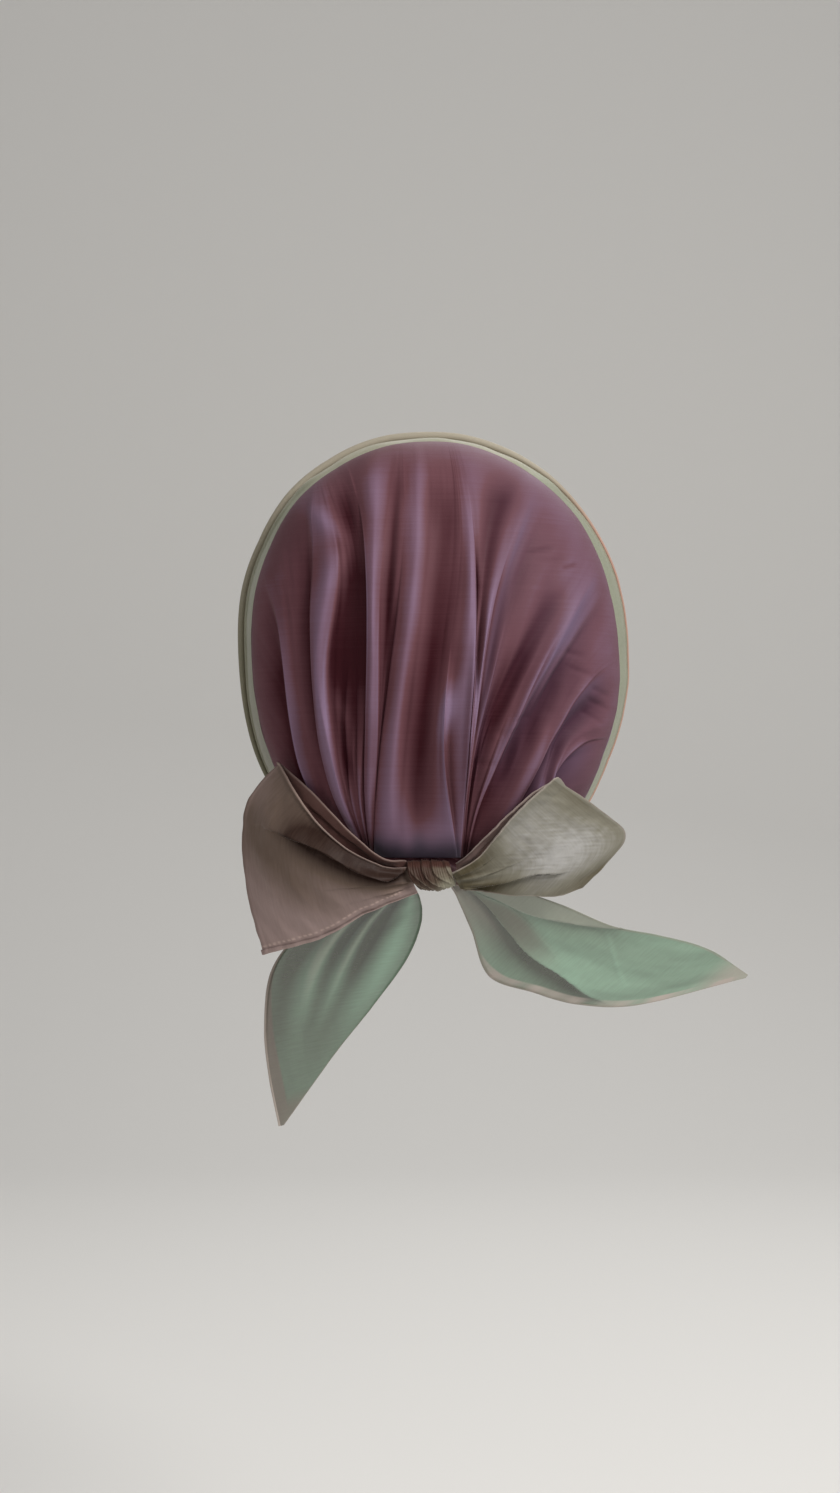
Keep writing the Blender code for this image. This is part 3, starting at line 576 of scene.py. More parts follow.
def band_sheets():
    """The face band: a sheer part and a roll, from the crown's rim all round."""
    degrees = np.linspace(-180, 180, BAND_STEPS, endpoint=False)[:, None]
    gather = smooth(BAND_NAPE_START, BAND_NAPE_FULL, np.abs(degrees))
    size = mix(1, BAND_NAPE_SHARE, gather)
    roll = at_turn(BAND_ROLLS, degrees) * mix(1, 0.7, gather)
    roll = roll * (1 + 0.04 * ripple(degrees, 0, 30, 1))
    outer = at_turn(BAND_WIDTHS, degrees) * size + 0.35 * ripple(degrees, 0, 50, 1, 9)
    back = BAND_BACK * size
    shares = np.linspace(0, 1, BAND_SHEER_STEPS)
    section = curve(BAND_SHEER, shares)
    loose = np.sin(pi * shares)
    out = section[:, 0] * (outer - 1.6 * roll)
    out = out + loose * 0.35 * ripple(degrees, shares * 20, 16, 30)
    behind = BAND_GAP + section[:, 1] * back
    behind = behind + loose * 0.4 * ripple(degrees, shares * 20, 20, 30)
    spin = np.radians(BAND_ROLL_START - BAND_ROLL_TURN * np.linspace(0, 1, BAND_ROLL_STEPS))
    shrink = np.linspace(1, 0.55, BAND_ROLL_STEPS)
    rolled_out = outer - roll + roll * shrink * np.cos(spin)
    rolled_back = BAND_GAP + back + roll * (1 + shrink * np.sin(spin))
    out = np.concatenate([out, rolled_out], 1)
    behind = np.concatenate([behind, rolled_back], 1)
    x, z = rim_point(np.radians(degrees), outline_radius(np.radians(degrees)) + out)
    in_roll = np.concatenate([smooth(0.93, 1, shares), np.ones(BAND_ROLL_STEPS)])
    # Painted light: the band is painted lighter along the top, as lit from above, and is also more
    # opaque there.
    top = window(-75, -12, 20, 44, degrees)
    nape = smooth(135, 178, degrees)
    salmon = smooth(30, 62, degrees) * (1 - nape) * in_roll * 0.85
    pale = mix(0.85, 0.55, smooth(35, 75, degrees) * (1 - nape))
    # Painted shade: a darker green-brown tint on the left, away from the light, and at the nape under
    # the bow.
    olive_shade = smooth(-15, -60, degrees) * mix(0.22, 0.1, in_roll) + nape * mix(0.8, 0.5, in_roll)
    olive_shade = olive_shade + smooth(-60, -125, degrees) * mix(0.58, 0.4, in_roll)
    return [
        {
            "points": np.stack([x, behind, z], -1),
            "wraps": (True, False),
            "tone": np.clip(mix(0.34, pale, in_roll) + 0.4 * top, 0, 1),
            "hem": salmon,
            "blush": olive_shade,
            "cover": mix(0.8, 1, np.maximum(in_roll, top)),
            "along": degrees * 1.7,
            "across": np.linspace(0, 34, out.shape[1]),
        }
    ]


# Knot: a barrel across the nape, wrapped by slanting pleats.
KNOT_LEFT = -12.5
KNOT_RIGHT = 9.5
KNOT_CENTRE_Y = -36
KNOT_CENTRE_Z = -198.2
KNOT_HALF_DEPTH = 7.4
KNOT_HALF_HEIGHT = 7.4
KNOT_END_SHARE = 0.86
KNOT_SHOULDER = 0.6
KNOT_PLEATS = 3.6
KNOT_PLEAT_DEPTH = 0.8
KNOT_SLANT = 1.7
KNOT_RISE = 1.6


def knot_sheets():
    """The knot, closed towards its middle at both ends."""
    along = np.linspace(0, 1, 110)[:, None]
    angle = np.linspace(0, 2 * pi, 121)[None, :-1]
    lowness = (1 - np.sin(angle)) / 2
    swell = mix(KNOT_END_SHARE, 1, np.abs(np.sin(pi * along)) ** KNOT_SHOULDER)
    phase = KNOT_PLEATS * along - KNOT_SLANT * lowness**3 + 0.1 * np.sin(9 * along + angle)
    saw = phase % 1
    ridge = (1 - saw) ** 0.7 * smooth(0, 0.14, saw)
    depth = KNOT_PLEAT_DEPTH * (ridge - 1) * np.sin(pi * along) ** 0.4
    depth = depth + 0.16 * ripple(along * 22, angle * 7, 1.6, 14)
    left, right = KNOT_LEFT + 6.5 * lowness**2.6, KNOT_RIGHT - 3 * (1 - lowness)
    x = mix(left, right, along)
    y = KNOT_CENTRE_Y + (KNOT_HALF_DEPTH * swell + depth) * np.cos(angle)
    z = KNOT_CENTRE_Z + (KNOT_HALF_HEIGHT * swell + depth) * np.sin(angle)
    z = z + KNOT_RISE * smooth(0.45, 1, along) * lowness
    points = np.stack([x, y, z], -1)
    inward = (0.3, 0.6, 0.85)
    first = np.array([KNOT_LEFT + 2.5, KNOT_CENTRE_Y, KNOT_CENTRE_Z])
    last = np.array([KNOT_RIGHT - 2, KNOT_CENTRE_Y, KNOT_CENTRE_Z])
    before = [mix(points[0], first, s) for s in inward[::-1]]
    after = [mix(points[-1], last, s) for s in inward]
    points = np.concatenate([before, points, after])
    ridge = np.pad(ridge, ((len(inward), len(inward)), (0, 0)))
    share = np.linspace(0, 1, len(points))[:, None]
    sage = smooth(0.35, 0.8, share) * mix(0.7, 1, lowness)
    # Lighter and greener towards the right end; painted shade along the top, in the crown's shadow,
    # lightening downwards, and painted light on the pleats' ridges.
    tone = 0.08 + 0.58 * sage + 0.42 * smooth(0.5, 1, lowness) + 0.24 * (ridge - 0.5)
    return [
        {
            "points": points,
            "wraps": (False, True),
            "tone": np.clip(tone, 0, 1),
            # Painted highlight on the pleats' edges, low on the knot.
            "hem": 0.42 * smooth(0.72, 0.9, ridge) * lowness**2,
            # Reddish tint towards the left end, and painted reddish shade along the top.
            "blush": np.maximum(0.45 * (1 - sage), smooth(0.3, 0.16, lowness)),
            "along": angle * 7,
            "across": share * 22,
        }
    ]


# Bow: the roots of its loops and tails stop just short of the knot's two ends.
SEAT_GAP = 0.3
FRONT_ROOT_Y = -39.4
BACK_ROOT_Y = -34.6
TAIL_ROOT_Y = -30.6
CLEAR_OF_CROWN = 6.4
CLEARANCE_GROWS = 12
LAYER_SPACE = 4.6
ROOT_HELD = 0.2
LOOP_ROWS = 96
LOOP_COLUMNS = 160
FOLD_ROWS = 10
TAIL_ROWS = 150
TAIL_COLUMNS = 110
STITCH_LENGTH = 1.3
# Where the soft step on the loops' inner face runs, from the fold to the root; below it the inner face
# is painted in shade.
INNER_STEP = (0.08, 0.08, 0.09, 0.12, 0.3)

LOOPS = {
    "bow_loop_left": {
        "outer": (
            (-71, -31, -147.8), (-85, -27, -164), (-88.5, -22, -184), (-86, -20, -209),
            (-79, -19, -234.6),
        ),
        "front_top": (
            (-60.9, -45, -162.5), (-50.8, -47.5, -175.6), (-38, -47.5, -186.4), (-23.7, -45, -193.3),
        ),
        "back_top": (
            (-56.4, -42, -159.2), (-45.7, -43, -170.6), (-35.6, -43, -180.7), (-23.4, -40, -190),
        ),
        "front_bottom": ((-65, -26, -231.3), (-50, -30, -226.4), (-35, -34, -217.5), (-21, -37, -211)),
        "back_bottom": ((-65, -22, -230.5), (-50, -25, -225.4), (-35, -28, -216.5), (-21, -31, -209.8)),
        "front_root": ((KNOT_LEFT - SEAT_GAP, FRONT_ROOT_Y, -194.6), (-7.6, -38.4, -205.8)),
        "back_root": ((KNOT_LEFT - SEAT_GAP, BACK_ROOT_Y, -191.6), (-9, -33, -204.6)),
        "fold_radius": (0.8, 3),
        # light and shade down the loop, and added along it from the fold to the root
        "shade": (0.4, 0.38, 0.42, 0.52, 0.68, 0.84, 1),
        "shade_to_root": (0.18, 0.08, 0, 0.04, 0.14),
        # depth and reach of the painted shade above and below the first crease; tone of the inner face
        # and the least that its painted shade takes it to
        "crease_shade": (1, 12, 0.6, 7),
        "inside": (0.3, -0.1),
        "glint": 0.1,
        "crinkle": 0,
        "gathers": 3,
        "stitch": 3.4,
        "front_bulge": 6,
        "back_bulge": 1,
        # percent down the loop at each eighth of the way from fold to root; then how far the
        # cloth above stands out and over what width, the same for the cloth set back below,
        # and where along the way the crease starts and is full
        "creases": (
            ((40, 33, 28, 23.5, 21, 27, 38.5, 45.5, 6), 3.2, 7, 2.4, 5, 0.02, 0.35),
            ((70, 69, 68, 66, 64, 62, 60, 60, 60), 1, 9, 0.6, 7, 0.4, 0.8),
            ((84, 84, 84, 84, 83, 82, 80, 78, 75), 0.8, 6, 0.2, 5, 0.45, 0.85),
        ),
    },
    "bow_loop_right": {
        "outer": (
            (54, -47, -154.5), (69, -40, -164.8), (86.8, -29.5, -178.5), (80.5, -28, -192.5),
            (68, -29, -204.8),
        ),
        "front_top": ((45.5, -49, -161.3), (36.5, -48, -170.2), (28, -46, -179.7), (19.5, -43, -189.8)),
        "back_top": (
            (44.6, -46.4, -159.8), (34.4, -45.4, -168.4), (25, -43.4, -177.8), (16.6, -40.4, -187),
        ),
        "front_bottom": (
            (56, -33, -207.8), (44.5, -35, -207.9), (32.5, -37, -207), (21, -38.5, -205.2),
        ),
        "back_bottom": ((56, -29, -207), (44.5, -31, -207), (32.5, -33, -206.2), (21, -34, -204.6)),
        "front_root": ((KNOT_RIGHT - 1.6, -42.8, -196.8), (KNOT_RIGHT + 2.2, -40.6, -204.2)),
        "back_root": (
            (KNOT_RIGHT + SEAT_GAP, BACK_ROOT_Y, -193),
            (KNOT_RIGHT + SEAT_GAP, BACK_ROOT_Y, -202.6),
        ),
        "fold_radius": (0.8, 2.4),
        "shade": (0.62, 0.62, 0.72, 0.92, 0.86, 0.58, 0.46),
        "shade_to_root": (-0.42, -0.06, 0.04, -0.44, -0.72),
        "crease_shade": (0.22, 6, 0.16, 3.4),
        "inside": (0.75, 0.45),
        "glint": 0.25,
        "crinkle": 0.05,
        "gathers": 4,
        "stitch": -2,
        "front_bulge": 5,
        "back_bulge": 1,
        "creases": (
            ((76, 75, 74, 72.2, 69.7, 74.5, 83.5, 95, 98), 2.2, 6, 1.6, 4, 0.27, 0.45),
            ((45, 45, 45, 45, 45, 45, 47, 50, 50), 0.9, 7, 0.4, 6, 0.55, 0.9),
            ((20, 20, 20, 20, 20, 20, 22, 25, 30), 0.7, 5, 0.4, 5, 0.6, 0.95),
        ),
    },
}

TAILS = {
    "tail_left": {
        "root_x": KNOT_LEFT - SEAT_GAP + 2,
        "root": (-196.5, -203.6),
        "left": (
            (-34, -19, -210), (-62, 2, -227), (-77, 9, -246),
            (-80.6, 11, -272), (-78.8, 13, -296), (-74, 15, -321),
        ),
        "right": (
            (-6.9, -26, -208.6), (-6, -14, -221), (-12.4, -2, -239),
            (-27.6, 6, -261), (-47.2, 10, -286), (-71.6, 15, -320.5),
        ),
        # share across, width and height towards the viewer of the soft flutes at the top
        "flutes": (
            (0.15, 0.08, -3), (0.33, 0.07, 3.4), (0.43, 0.05, -3.2),
            (0.54, 0.05, 3.2), (0.64, 0.06, -3.8), (0.85, 0.1, 3.6),
        ),
        "flute_fades": (0.34, 0.8),
        # percent across at each tenth of the way down; then height and width of the cloth
        # to the left of the line and to its right, and where it starts, is full and fades
        "folds": (),
        "edge": (0.9, 0.4),
        "doubled": (1, 6.5, 0.4, 0.9),
    },
    "tail_right": {
        "root_x": KNOT_RIGHT + SEAT_GAP - 2,
        "root": (-204, -197),
        "left": (
            (10.8, -26, -210), (17.6, -11, -226), (25.9, 2, -248), (47, 7, -256.3),
            (69, 9, -262.3), (98, 11, -262.3), (148.5, 13, -250),
        ),
        "right": (
            (22, -26, -203.6), (40, -17, -207), (60, -7, -214), (84, 3, -224.5),
            (107, 8, -229.5), (130, 11, -236), (149.5, 13, -248.6),
        ),
        "flutes": ((0.12, 0.12, 1), (0.45, 0.14, -0.6)),
        "flute_fades": (0.3, 0.7),
        "folds": (
            ((66, 60, 50, 44, 44, 35.5, 26.5, 14, 2, -10, -20),
             -1.8, 8, 2.4, 9, 0.05, 0.2, 0.8),
            ((66, 65, 65.5, 69, 66.5, 53.5, 31, 10, -10, -20, -30),
             0.9, 6, 0.5, 7, 0.1, 0.25, 0.62),
            ((68, 68, 69, 70, 77.5, 87.5, 100, 110, 120, 130, 140),
             -0.5, 4, 1.2, 20, 0.08, 0.2, 0.7),
        ),
        "edge": (0.9, 0.9),
        "doubled": (0.8, 4.6, 0.32, 0.44),
    },
}


def lay_on_crown(points, clearance):
    """Push points of the bow forward where the crown behind them comes closer."""
    depth = dome_depth(points[..., 0], points[..., 2])
    limit = -depth - clearance * smooth(0, CLEARANCE_GROWS, depth)
    out = points.copy()
    out[..., 1] = np.where(depth > 0, np.minimum(out[..., 1], limit), out[..., 1])
    return out


def step_across(off, before, before_reach, after, after_reach):
    """Heights before and after a line that fade away from it, each over its own reach."""
    return np.where(off < 0, before * np.exp(off / before_reach), after * np.exp(-off / after_reach))


def loop_layer(shape, side, shift, u, v):
    """One layer of a loop, front or back, at shares u from fold to root and v down."""
    outer_points = np.array(shape["outer"], float)
    root_ends = np.array(shape[side + "_root"], float)
    inward = 1 if root_ends[0, 0] > outer_points[0, 0] else -1

    def outer(share):
        radius = mix(*shape["fold_radius"], share)[..., None]
        return curve(outer_points, share) + np.array([inward, shift, 0]) * radius

    def edge(name, share):
        ends = outer(np.array([share]))[0], mix(*root_ends, share)
        return curve([ends[0], *shape[side + name], ends[1]], u)

    root = mix(*root_ends, v[:, None])
    far = outer(v)
    top, bottom = edge("_top", 0), edge("_bottom", 1)
    uu, vv = u[:, None, None], v[None, :, None]
    corners = mix(mix(far[0], far[-1], vv), mix(root[0], root[-1], vv), uu)
    points = mix(top[:, None], bottom[:, None], vv) + mix(far[None], root[None], uu) - corners
    tall = np.linalg.norm(bottom - top, axis=1)[:, None]
    uu, vv = uu[..., 0], vv[..., 0]
    points[..., 1] -= shape[side + "_bulge"] * np.sin(pi * uu) * np.sin(pi * vv)
    folded = np.zeros(points.shape[:2])
    if side == "front":
        for line, lift, lift_reach, drop, drop_reach, begin, full in shape["creases"][::-1]:
            off = (vv - curve(line, u)[:, None] / 100) * tall
            held = window(begin, full, 0.96, 1, uu)
            folded = folded + step_across(off, -lift, lift_reach, drop, drop_reach) * held
        shaded = held * smooth(0.05, 0.5, uu) * step_across(off, *shape["crease_shade"])
    else:
        off = (vv - curve(INNER_STEP, u)[:, None]) * tall
        begins = smooth(0.15, 0.35, uu)
        folded = smooth(-0.3, 0.3, off) * 0.9 * np.exp(-off / 6) * begins * smooth(1, 0.9, uu)
        shaded = 0.5 * smooth(-0.2, 0.4, off) * begins
    points[..., 1] += folded
    clearance = CLEAR_OF_CROWN + (LAYER_SPACE if side == "front" else 0)
    freed = smooth(0, ROOT_HELD, 1 - uu)[..., None]
    return mix(points, lay_on_crown(points, clearance), freed), shaded


def hemmed(points, values, near, far, turn=0.35):
    """One sheet, its long edges turned under by so many columns, as sewn hems."""
    normals = grid_normals(points)
    under = points - normals * 2 * turn

    def lip(end, inner):
        edge = points[:, end]
        return (edge + unit(edge - points[:, inner]) * turn * 0.6 - normals[:, end] * turn)[:, None]

    def widened(edges, first, middle, last):
        near_side, far_side = edges[:, near:0:-1], edges[:, -2 : -far - 2 : -1]
        parts = near_side, edges[:, :1], first, middle, last, edges[:, -1:], far_side
        return np.concatenate(parts, 1)

    sheet = {"points": widened(under, lip(0, 1), points, lip(-1, -2))}
    for name, value in values.items():
        value = np.broadcast_to(value, points.shape[:2])
        sheet[name] = widened(value, value[:, :1], value, value[:, -1:])
    return sheet


def lengths(points):
    """Millimetres along the rows and across the columns of a grid."""
    along = np.linalg.norm(np.diff(points, axis=0), axis=-1).mean(1)
    across = np.linalg.norm(np.diff(points, axis=1), axis=-1)
    along = np.concatenate([[0], np.cumsum(along)])[:, None] * np.ones((1, points.shape[1]))
    across = np.concatenate([np.zeros((points.shape[0], 1)), np.cumsum(across, 1)], 1)
    return along, across


def loop_sheets(name):
    """One loop: its back layer, the fold at its outer end and its front layer."""
    shape = LOOPS[name]
    v = np.linspace(0, 1, LOOP_COLUMNS + 1)
    u = np.linspace(0, 1, LOOP_ROWS + 1)
    back, back_shaded = loop_layer(shape, "back", 1, u, v)
    front, front_shaded = loop_layer(shape, "front", -1, u, v)
    inward = back[1] - back[0]
    inward[:, 1] = 0
    radius = np.linalg.norm(front[0] - back[0], axis=1, keepdims=True) / 2
    fold = []
    for angle in pi * np.arange(1, FOLD_ROWS + 1) / (FOLD_ROWS + 1):
        between = mix(back[0], front[0], (1 - np.cos(angle)) / 2)
        fold.append(between - unit(inward) * radius * np.sin(angle))
    points = np.concatenate([back[::-1], fold, front])
    along, across = lengths(points)
    width = across[:, -1:]
    front_share = [np.zeros(len(back)), np.linspace(0, 1, FOLD_ROWS), np.ones(len(front))]
    front_share = np.concatenate(front_share)[:, None]
    near_root = np.concatenate([u[::-1], np.zeros(FOLD_ROWS), u])[:, None]
    free = smooth(1, 0.85, near_root)
    fine = 0.35 * ripple(along, across, 22, 26) + 0.1 * ripple(along, across, 7, 9)
    x, z = points[..., 0], points[..., 2]
    crinkle = ripple(x, z, 7, 1.7) + ripple(x, z, 5, 2.6, 9)
    middle = smooth(0.62, 0.2, np.abs(near_root - 0.4) + np.abs(v - 0.45))
    crinkle = shape["crinkle"] * crinkle * middle
    gathers = smooth(0.6, 0.97, near_root) * np.sin(2 * pi * shape["gathers"] * v + 1) * 0.55
    points = points + grid_normals(points) * ((fine + crinkle + gathers) * free)[..., None]
    shade = curve(shape["shade"], v)[None] + curve(shape["shade_to_root"], near_root[:, 0])[:, None]
    # Painted light and shade on the gathers and the crinkles, and a painted highlight along the outer
    # fold.
    shade = shade + 0.08 * ripple(along, across, 60, 40) + 0.1 * gathers + 0.9 * crinkle
    shade = shade + shape["glint"] * smooth(0.012, 0, near_root) * smooth(0.6, 0.3, v)
    between = np.zeros((FOLD_ROWS, LOOP_COLUMNS + 1))
    shade = shade - np.concatenate([0 * back_shaded, between, front_shaded])
    inside = shape["inside"][0] - np.concatenate([back_shaded[::-1], between, 0 * front_shaded])
    inside = np.maximum(inside, shape["inside"][1])
    hem = smooth(0.75, 0.25, across) * 0.4 + smooth(width - 0.7, width - 0.2, across) * 0.3
    up = width - across
    stitch = hill(up - shape["stitch"], 0.42) * smooth(1, 0.8, near_root)
    dashes = smooth(-0.6, 0.2, np.sin(2 * pi * along / STITCH_LENGTH))
    below = smooth(shape["stitch"] + 0.4, shape["stitch"] - 0.4, up)
    tone = np.clip(mix(inside, shade, front_share), 0, 1)
    values = {
        "tone": np.clip(tone + 0.12 * below * front_share, 0, 1),
        "hem": np.clip(hem + stitch * dashes * front_share, 0, 1),
        "blush": (1 - front_share) * 0.8,
        "along": along,
        "across": across,
    }
    return [hemmed(points, values, 2, 3)]


def tail_sheets(name):
    """One tail: a layer of cloth between its left and right outlines, with its hems."""
    shape = TAILS[name]
    down = np.linspace(0, 1, TAIL_ROWS)[:, None]
    share = np.linspace(0, 1, TAIL_COLUMNS)[None]
    root = [np.array([shape["root_x"], TAIL_ROOT_Y, z]) for z in shape["root"]]
    left = curve([root[0], *shape["left"]], down[:, 0])
    right = curve([root[1], *shape["right"]], down[:, 0])
    points = mix(left[:, None], right[:, None], share[..., None])
    along, across = lengths(points)
    width = across[:, -1:]
    flute = sum(high * hill(share - at, wide) for at, wide, high in shape["flutes"])
    flute = flute * window(0, 0.12, *shape["flute_fades"], down)
    offs = []
    for line, before, before_reach, after, after_reach, begin, full, gone in shape["folds"]:
        off = (share - curve(line, down[:, 0])[:, None] / 100) * width
        held = window(begin, full, gone - 0.2, gone, down)
        flute = flute + step_across(off, before, before_reach, after, after_reach) * held
        offs.append(off)
    fine = 0.6 * ripple(along, across, 50, 22) + 0.12 * ripple(along, across, 12, 8)
    points[..., 1] += fine * window(0.02, 0.2, 0.9, 1, down) - flute
    line_left, line_right = shape["edge"]
    hem = smooth(line_left + 0.2, line_left - 0.2, across)
    hem = np.maximum(hem, 0.6 * smooth(width - line_right - 0.2, width - line_right + 0.2, across))
    narrow, broad, start, full = shape["doubled"]
    reach = mix(narrow, broad, smooth(start, full, down))
    doubled = smooth(reach + 0.5, reach - 0.5, across)
    # Painted light and shade: the flutes are painted lighter where they stand out and darker where they
    # sink.
    tone = 0.5 + 0.17 * flute + 0.07 * ripple(along, across, 70, 30)
    if name == "tail_left":
        blush = 0.65 * np.maximum(doubled, smooth(0.9, 0.96, down))
        hem = np.maximum(hem * smooth(0.25, 0.7, down), 0.25 * hem)
        # Painted highlights on the flutes' crests towards the left edge.
        hem = np.maximum(hem, 0.38 * smooth(0.6, 2.6, flute) * smooth(0.75, 0.45, share))
        # Lighter towards the right and lower down, with painted shade at the top under the bow's left
        # loop.
        tone = tone - 0.44 + 0.3 * share + 0.1 * smooth(0.2, 0.5, down)
        tone = tone - 0.12 * smooth(0.25, 0.05, down)
    else:
        flap = smooth(-0.3, 0.3, offs[2]) * smooth(0.08, 0.2, down)
        band = smooth(-0.3, 0.3, offs[0]) * smooth(3, -3, offs[1]) * smooth(0.62, 0.36, down)
        panel = smooth(0.3, -0.3, offs[0]) * smooth(0.36, 0.1, down)
        blush = np.maximum(np.maximum(0.45 * flap, 0.6 * band), 0.2 * panel)
        blush = np.maximum(blush, 0.7 * smooth(0.16, 0.08, down))
        pale = doubled * smooth(0.3, 0.42, down) * (0.66 + 0.32 * ripple(along, across, 16, 30, 7))
        tip = smooth(0.9, 0.97, down) * 0.7
        # Painted light on a strip beside the first fold near the top, also painted with the hem colour
        # as a highlight.
        lit = smooth(0, -5, offs[0]) * window(0.02, 0.12, 0.15, 0.45, down)
        hem = np.maximum.reduce([hem * 0.7, pale, tip * np.ones_like(pale), 0.6 * lit, 0.3 * flap])
        # Painted shade in the hollow beside the first fold.
        hollow = smooth(0, -0.6, offs[0]) * np.exp(np.minimum(offs[0], 0) / 7)
        hollow = hollow * window(0.12, 0.35, 0.65, 0.85, down)
        tone = tone + 0.22 * smooth(0.3, 0.8, down) + 0.25 * flap + 0.35 * lit
        tone = tone - 0.6 * hollow - 0.14 * band
        crease = (down - 0.58 - (0.905 - share) * 0.324) * 150
        ridge = hill(crease, 0.9) * window(0.25, 0.45, 0.85, 0.97, share)
        points[..., 1] -= 0.35 * ridge
        # Painted highlight along the crease's ridge.
        tone = tone + 0.12 * ridge
    values = {
        "tone": np.clip(tone, 0, 1),
        "hem": hem,
        "blush": np.clip(blush, 0, 1),
        "cover": mix(0.86, 0.98, np.clip(np.maximum(hem, blush), 0, 1)),
        "along": along,
        "across": across,
    }
    return [hemmed(points, values, 3, 2, 0.25)]


# Cloths: the colours they are painted with in shadow, between and in light, their tint, also used to
# paint shade, and their hem colour, also used to paint highlights, and then their finish.
CLOTH_KEYS = (
    "shadow", "middle", "light", "blush", "hem", "through", "roughness", "shine", "slub",
    "sheen", "sheen_tint", "streaks",
)
CLOTHS = {
    "crown_voile": (
        (0.04, 0.006, 0.01), (0.132, 0.054, 0.066), (0.226, 0.15, 0.232),
        (0.118, 0.082, 0.138), (0.075, 0.058, 0.085),
        0.16, 0.62, 0.1, 0.026, 0.04, (0.85, 0.75, 0.95), (0.03, 0.03, 1.3),
    ),
    "band_organza": (
        (0.15, 0.165, 0.095), (0.255, 0.275, 0.19), (0.42, 0.378, 0.3),
        (0.08, 0.072, 0.024), (0.5, 0.3, 0.24),
        0.25, 0.6, 0.25, 0.05, 0.2, (1, 0.95, 0.85), (0.6, 0.6, 0.6),
    ),
    "bow_taupe": (
        (0.024, 0.009, 0.005), (0.15, 0.105, 0.082), (0.33, 0.245, 0.23),
        (0.11, 0.05, 0.044), (0.52, 0.39, 0.345),
        0.14, 0.58, 0.2, 0.03, 0.12, (1, 0.92, 0.86), (0.9, 0.1, 0),
    ),
    "bow_wrap": (
        (0.03, 0.013, 0.008), (0.105, 0.08, 0.055), (0.29, 0.275, 0.205),
        (0.055, 0.022, 0.016), (0.4, 0.35, 0.28),
        0.1, 0.58, 0.2, 0.03, 0.08, (1, 0.92, 0.86), (0.9, 0.1, 0),
    ),
    "bow_sage": (
        (0.075, 0.06, 0.03), (0.216, 0.204, 0.16), (0.41, 0.402, 0.388),
        (0.17, 0.088, 0.08), (0.56, 0.48, 0.43),
        0.18, 0.52, 0.25, 0.05, 0.3, (1, 0.97, 0.92), (0.9, 0.1, 0),
    ),
    "tail_sheer": (
        (0.05, 0.062, 0.036), (0.13, 0.198, 0.135), (0.245, 0.4, 0.285),
        (0.205, 0.155, 0.138), (0.42, 0.365, 0.325),
        0.3, 0.6, 0.25, 0.05, 0.2, (1, 0.97, 0.95), (0.9, 0.1, 0),
    ),
}


# Scales of the noise of each material, its bump and the spread of its roughness.
PATCH_SCALE, WEAVE_SCALE, STREAK_SCALE = 26, 1900, 1000
BUMP_STRENGTH, BUMP_DISTANCE = 0.3, 0.00018
ROUGHNESS_SPREAD = 0.06
SHEEN_ROUGHNESS = 0.45


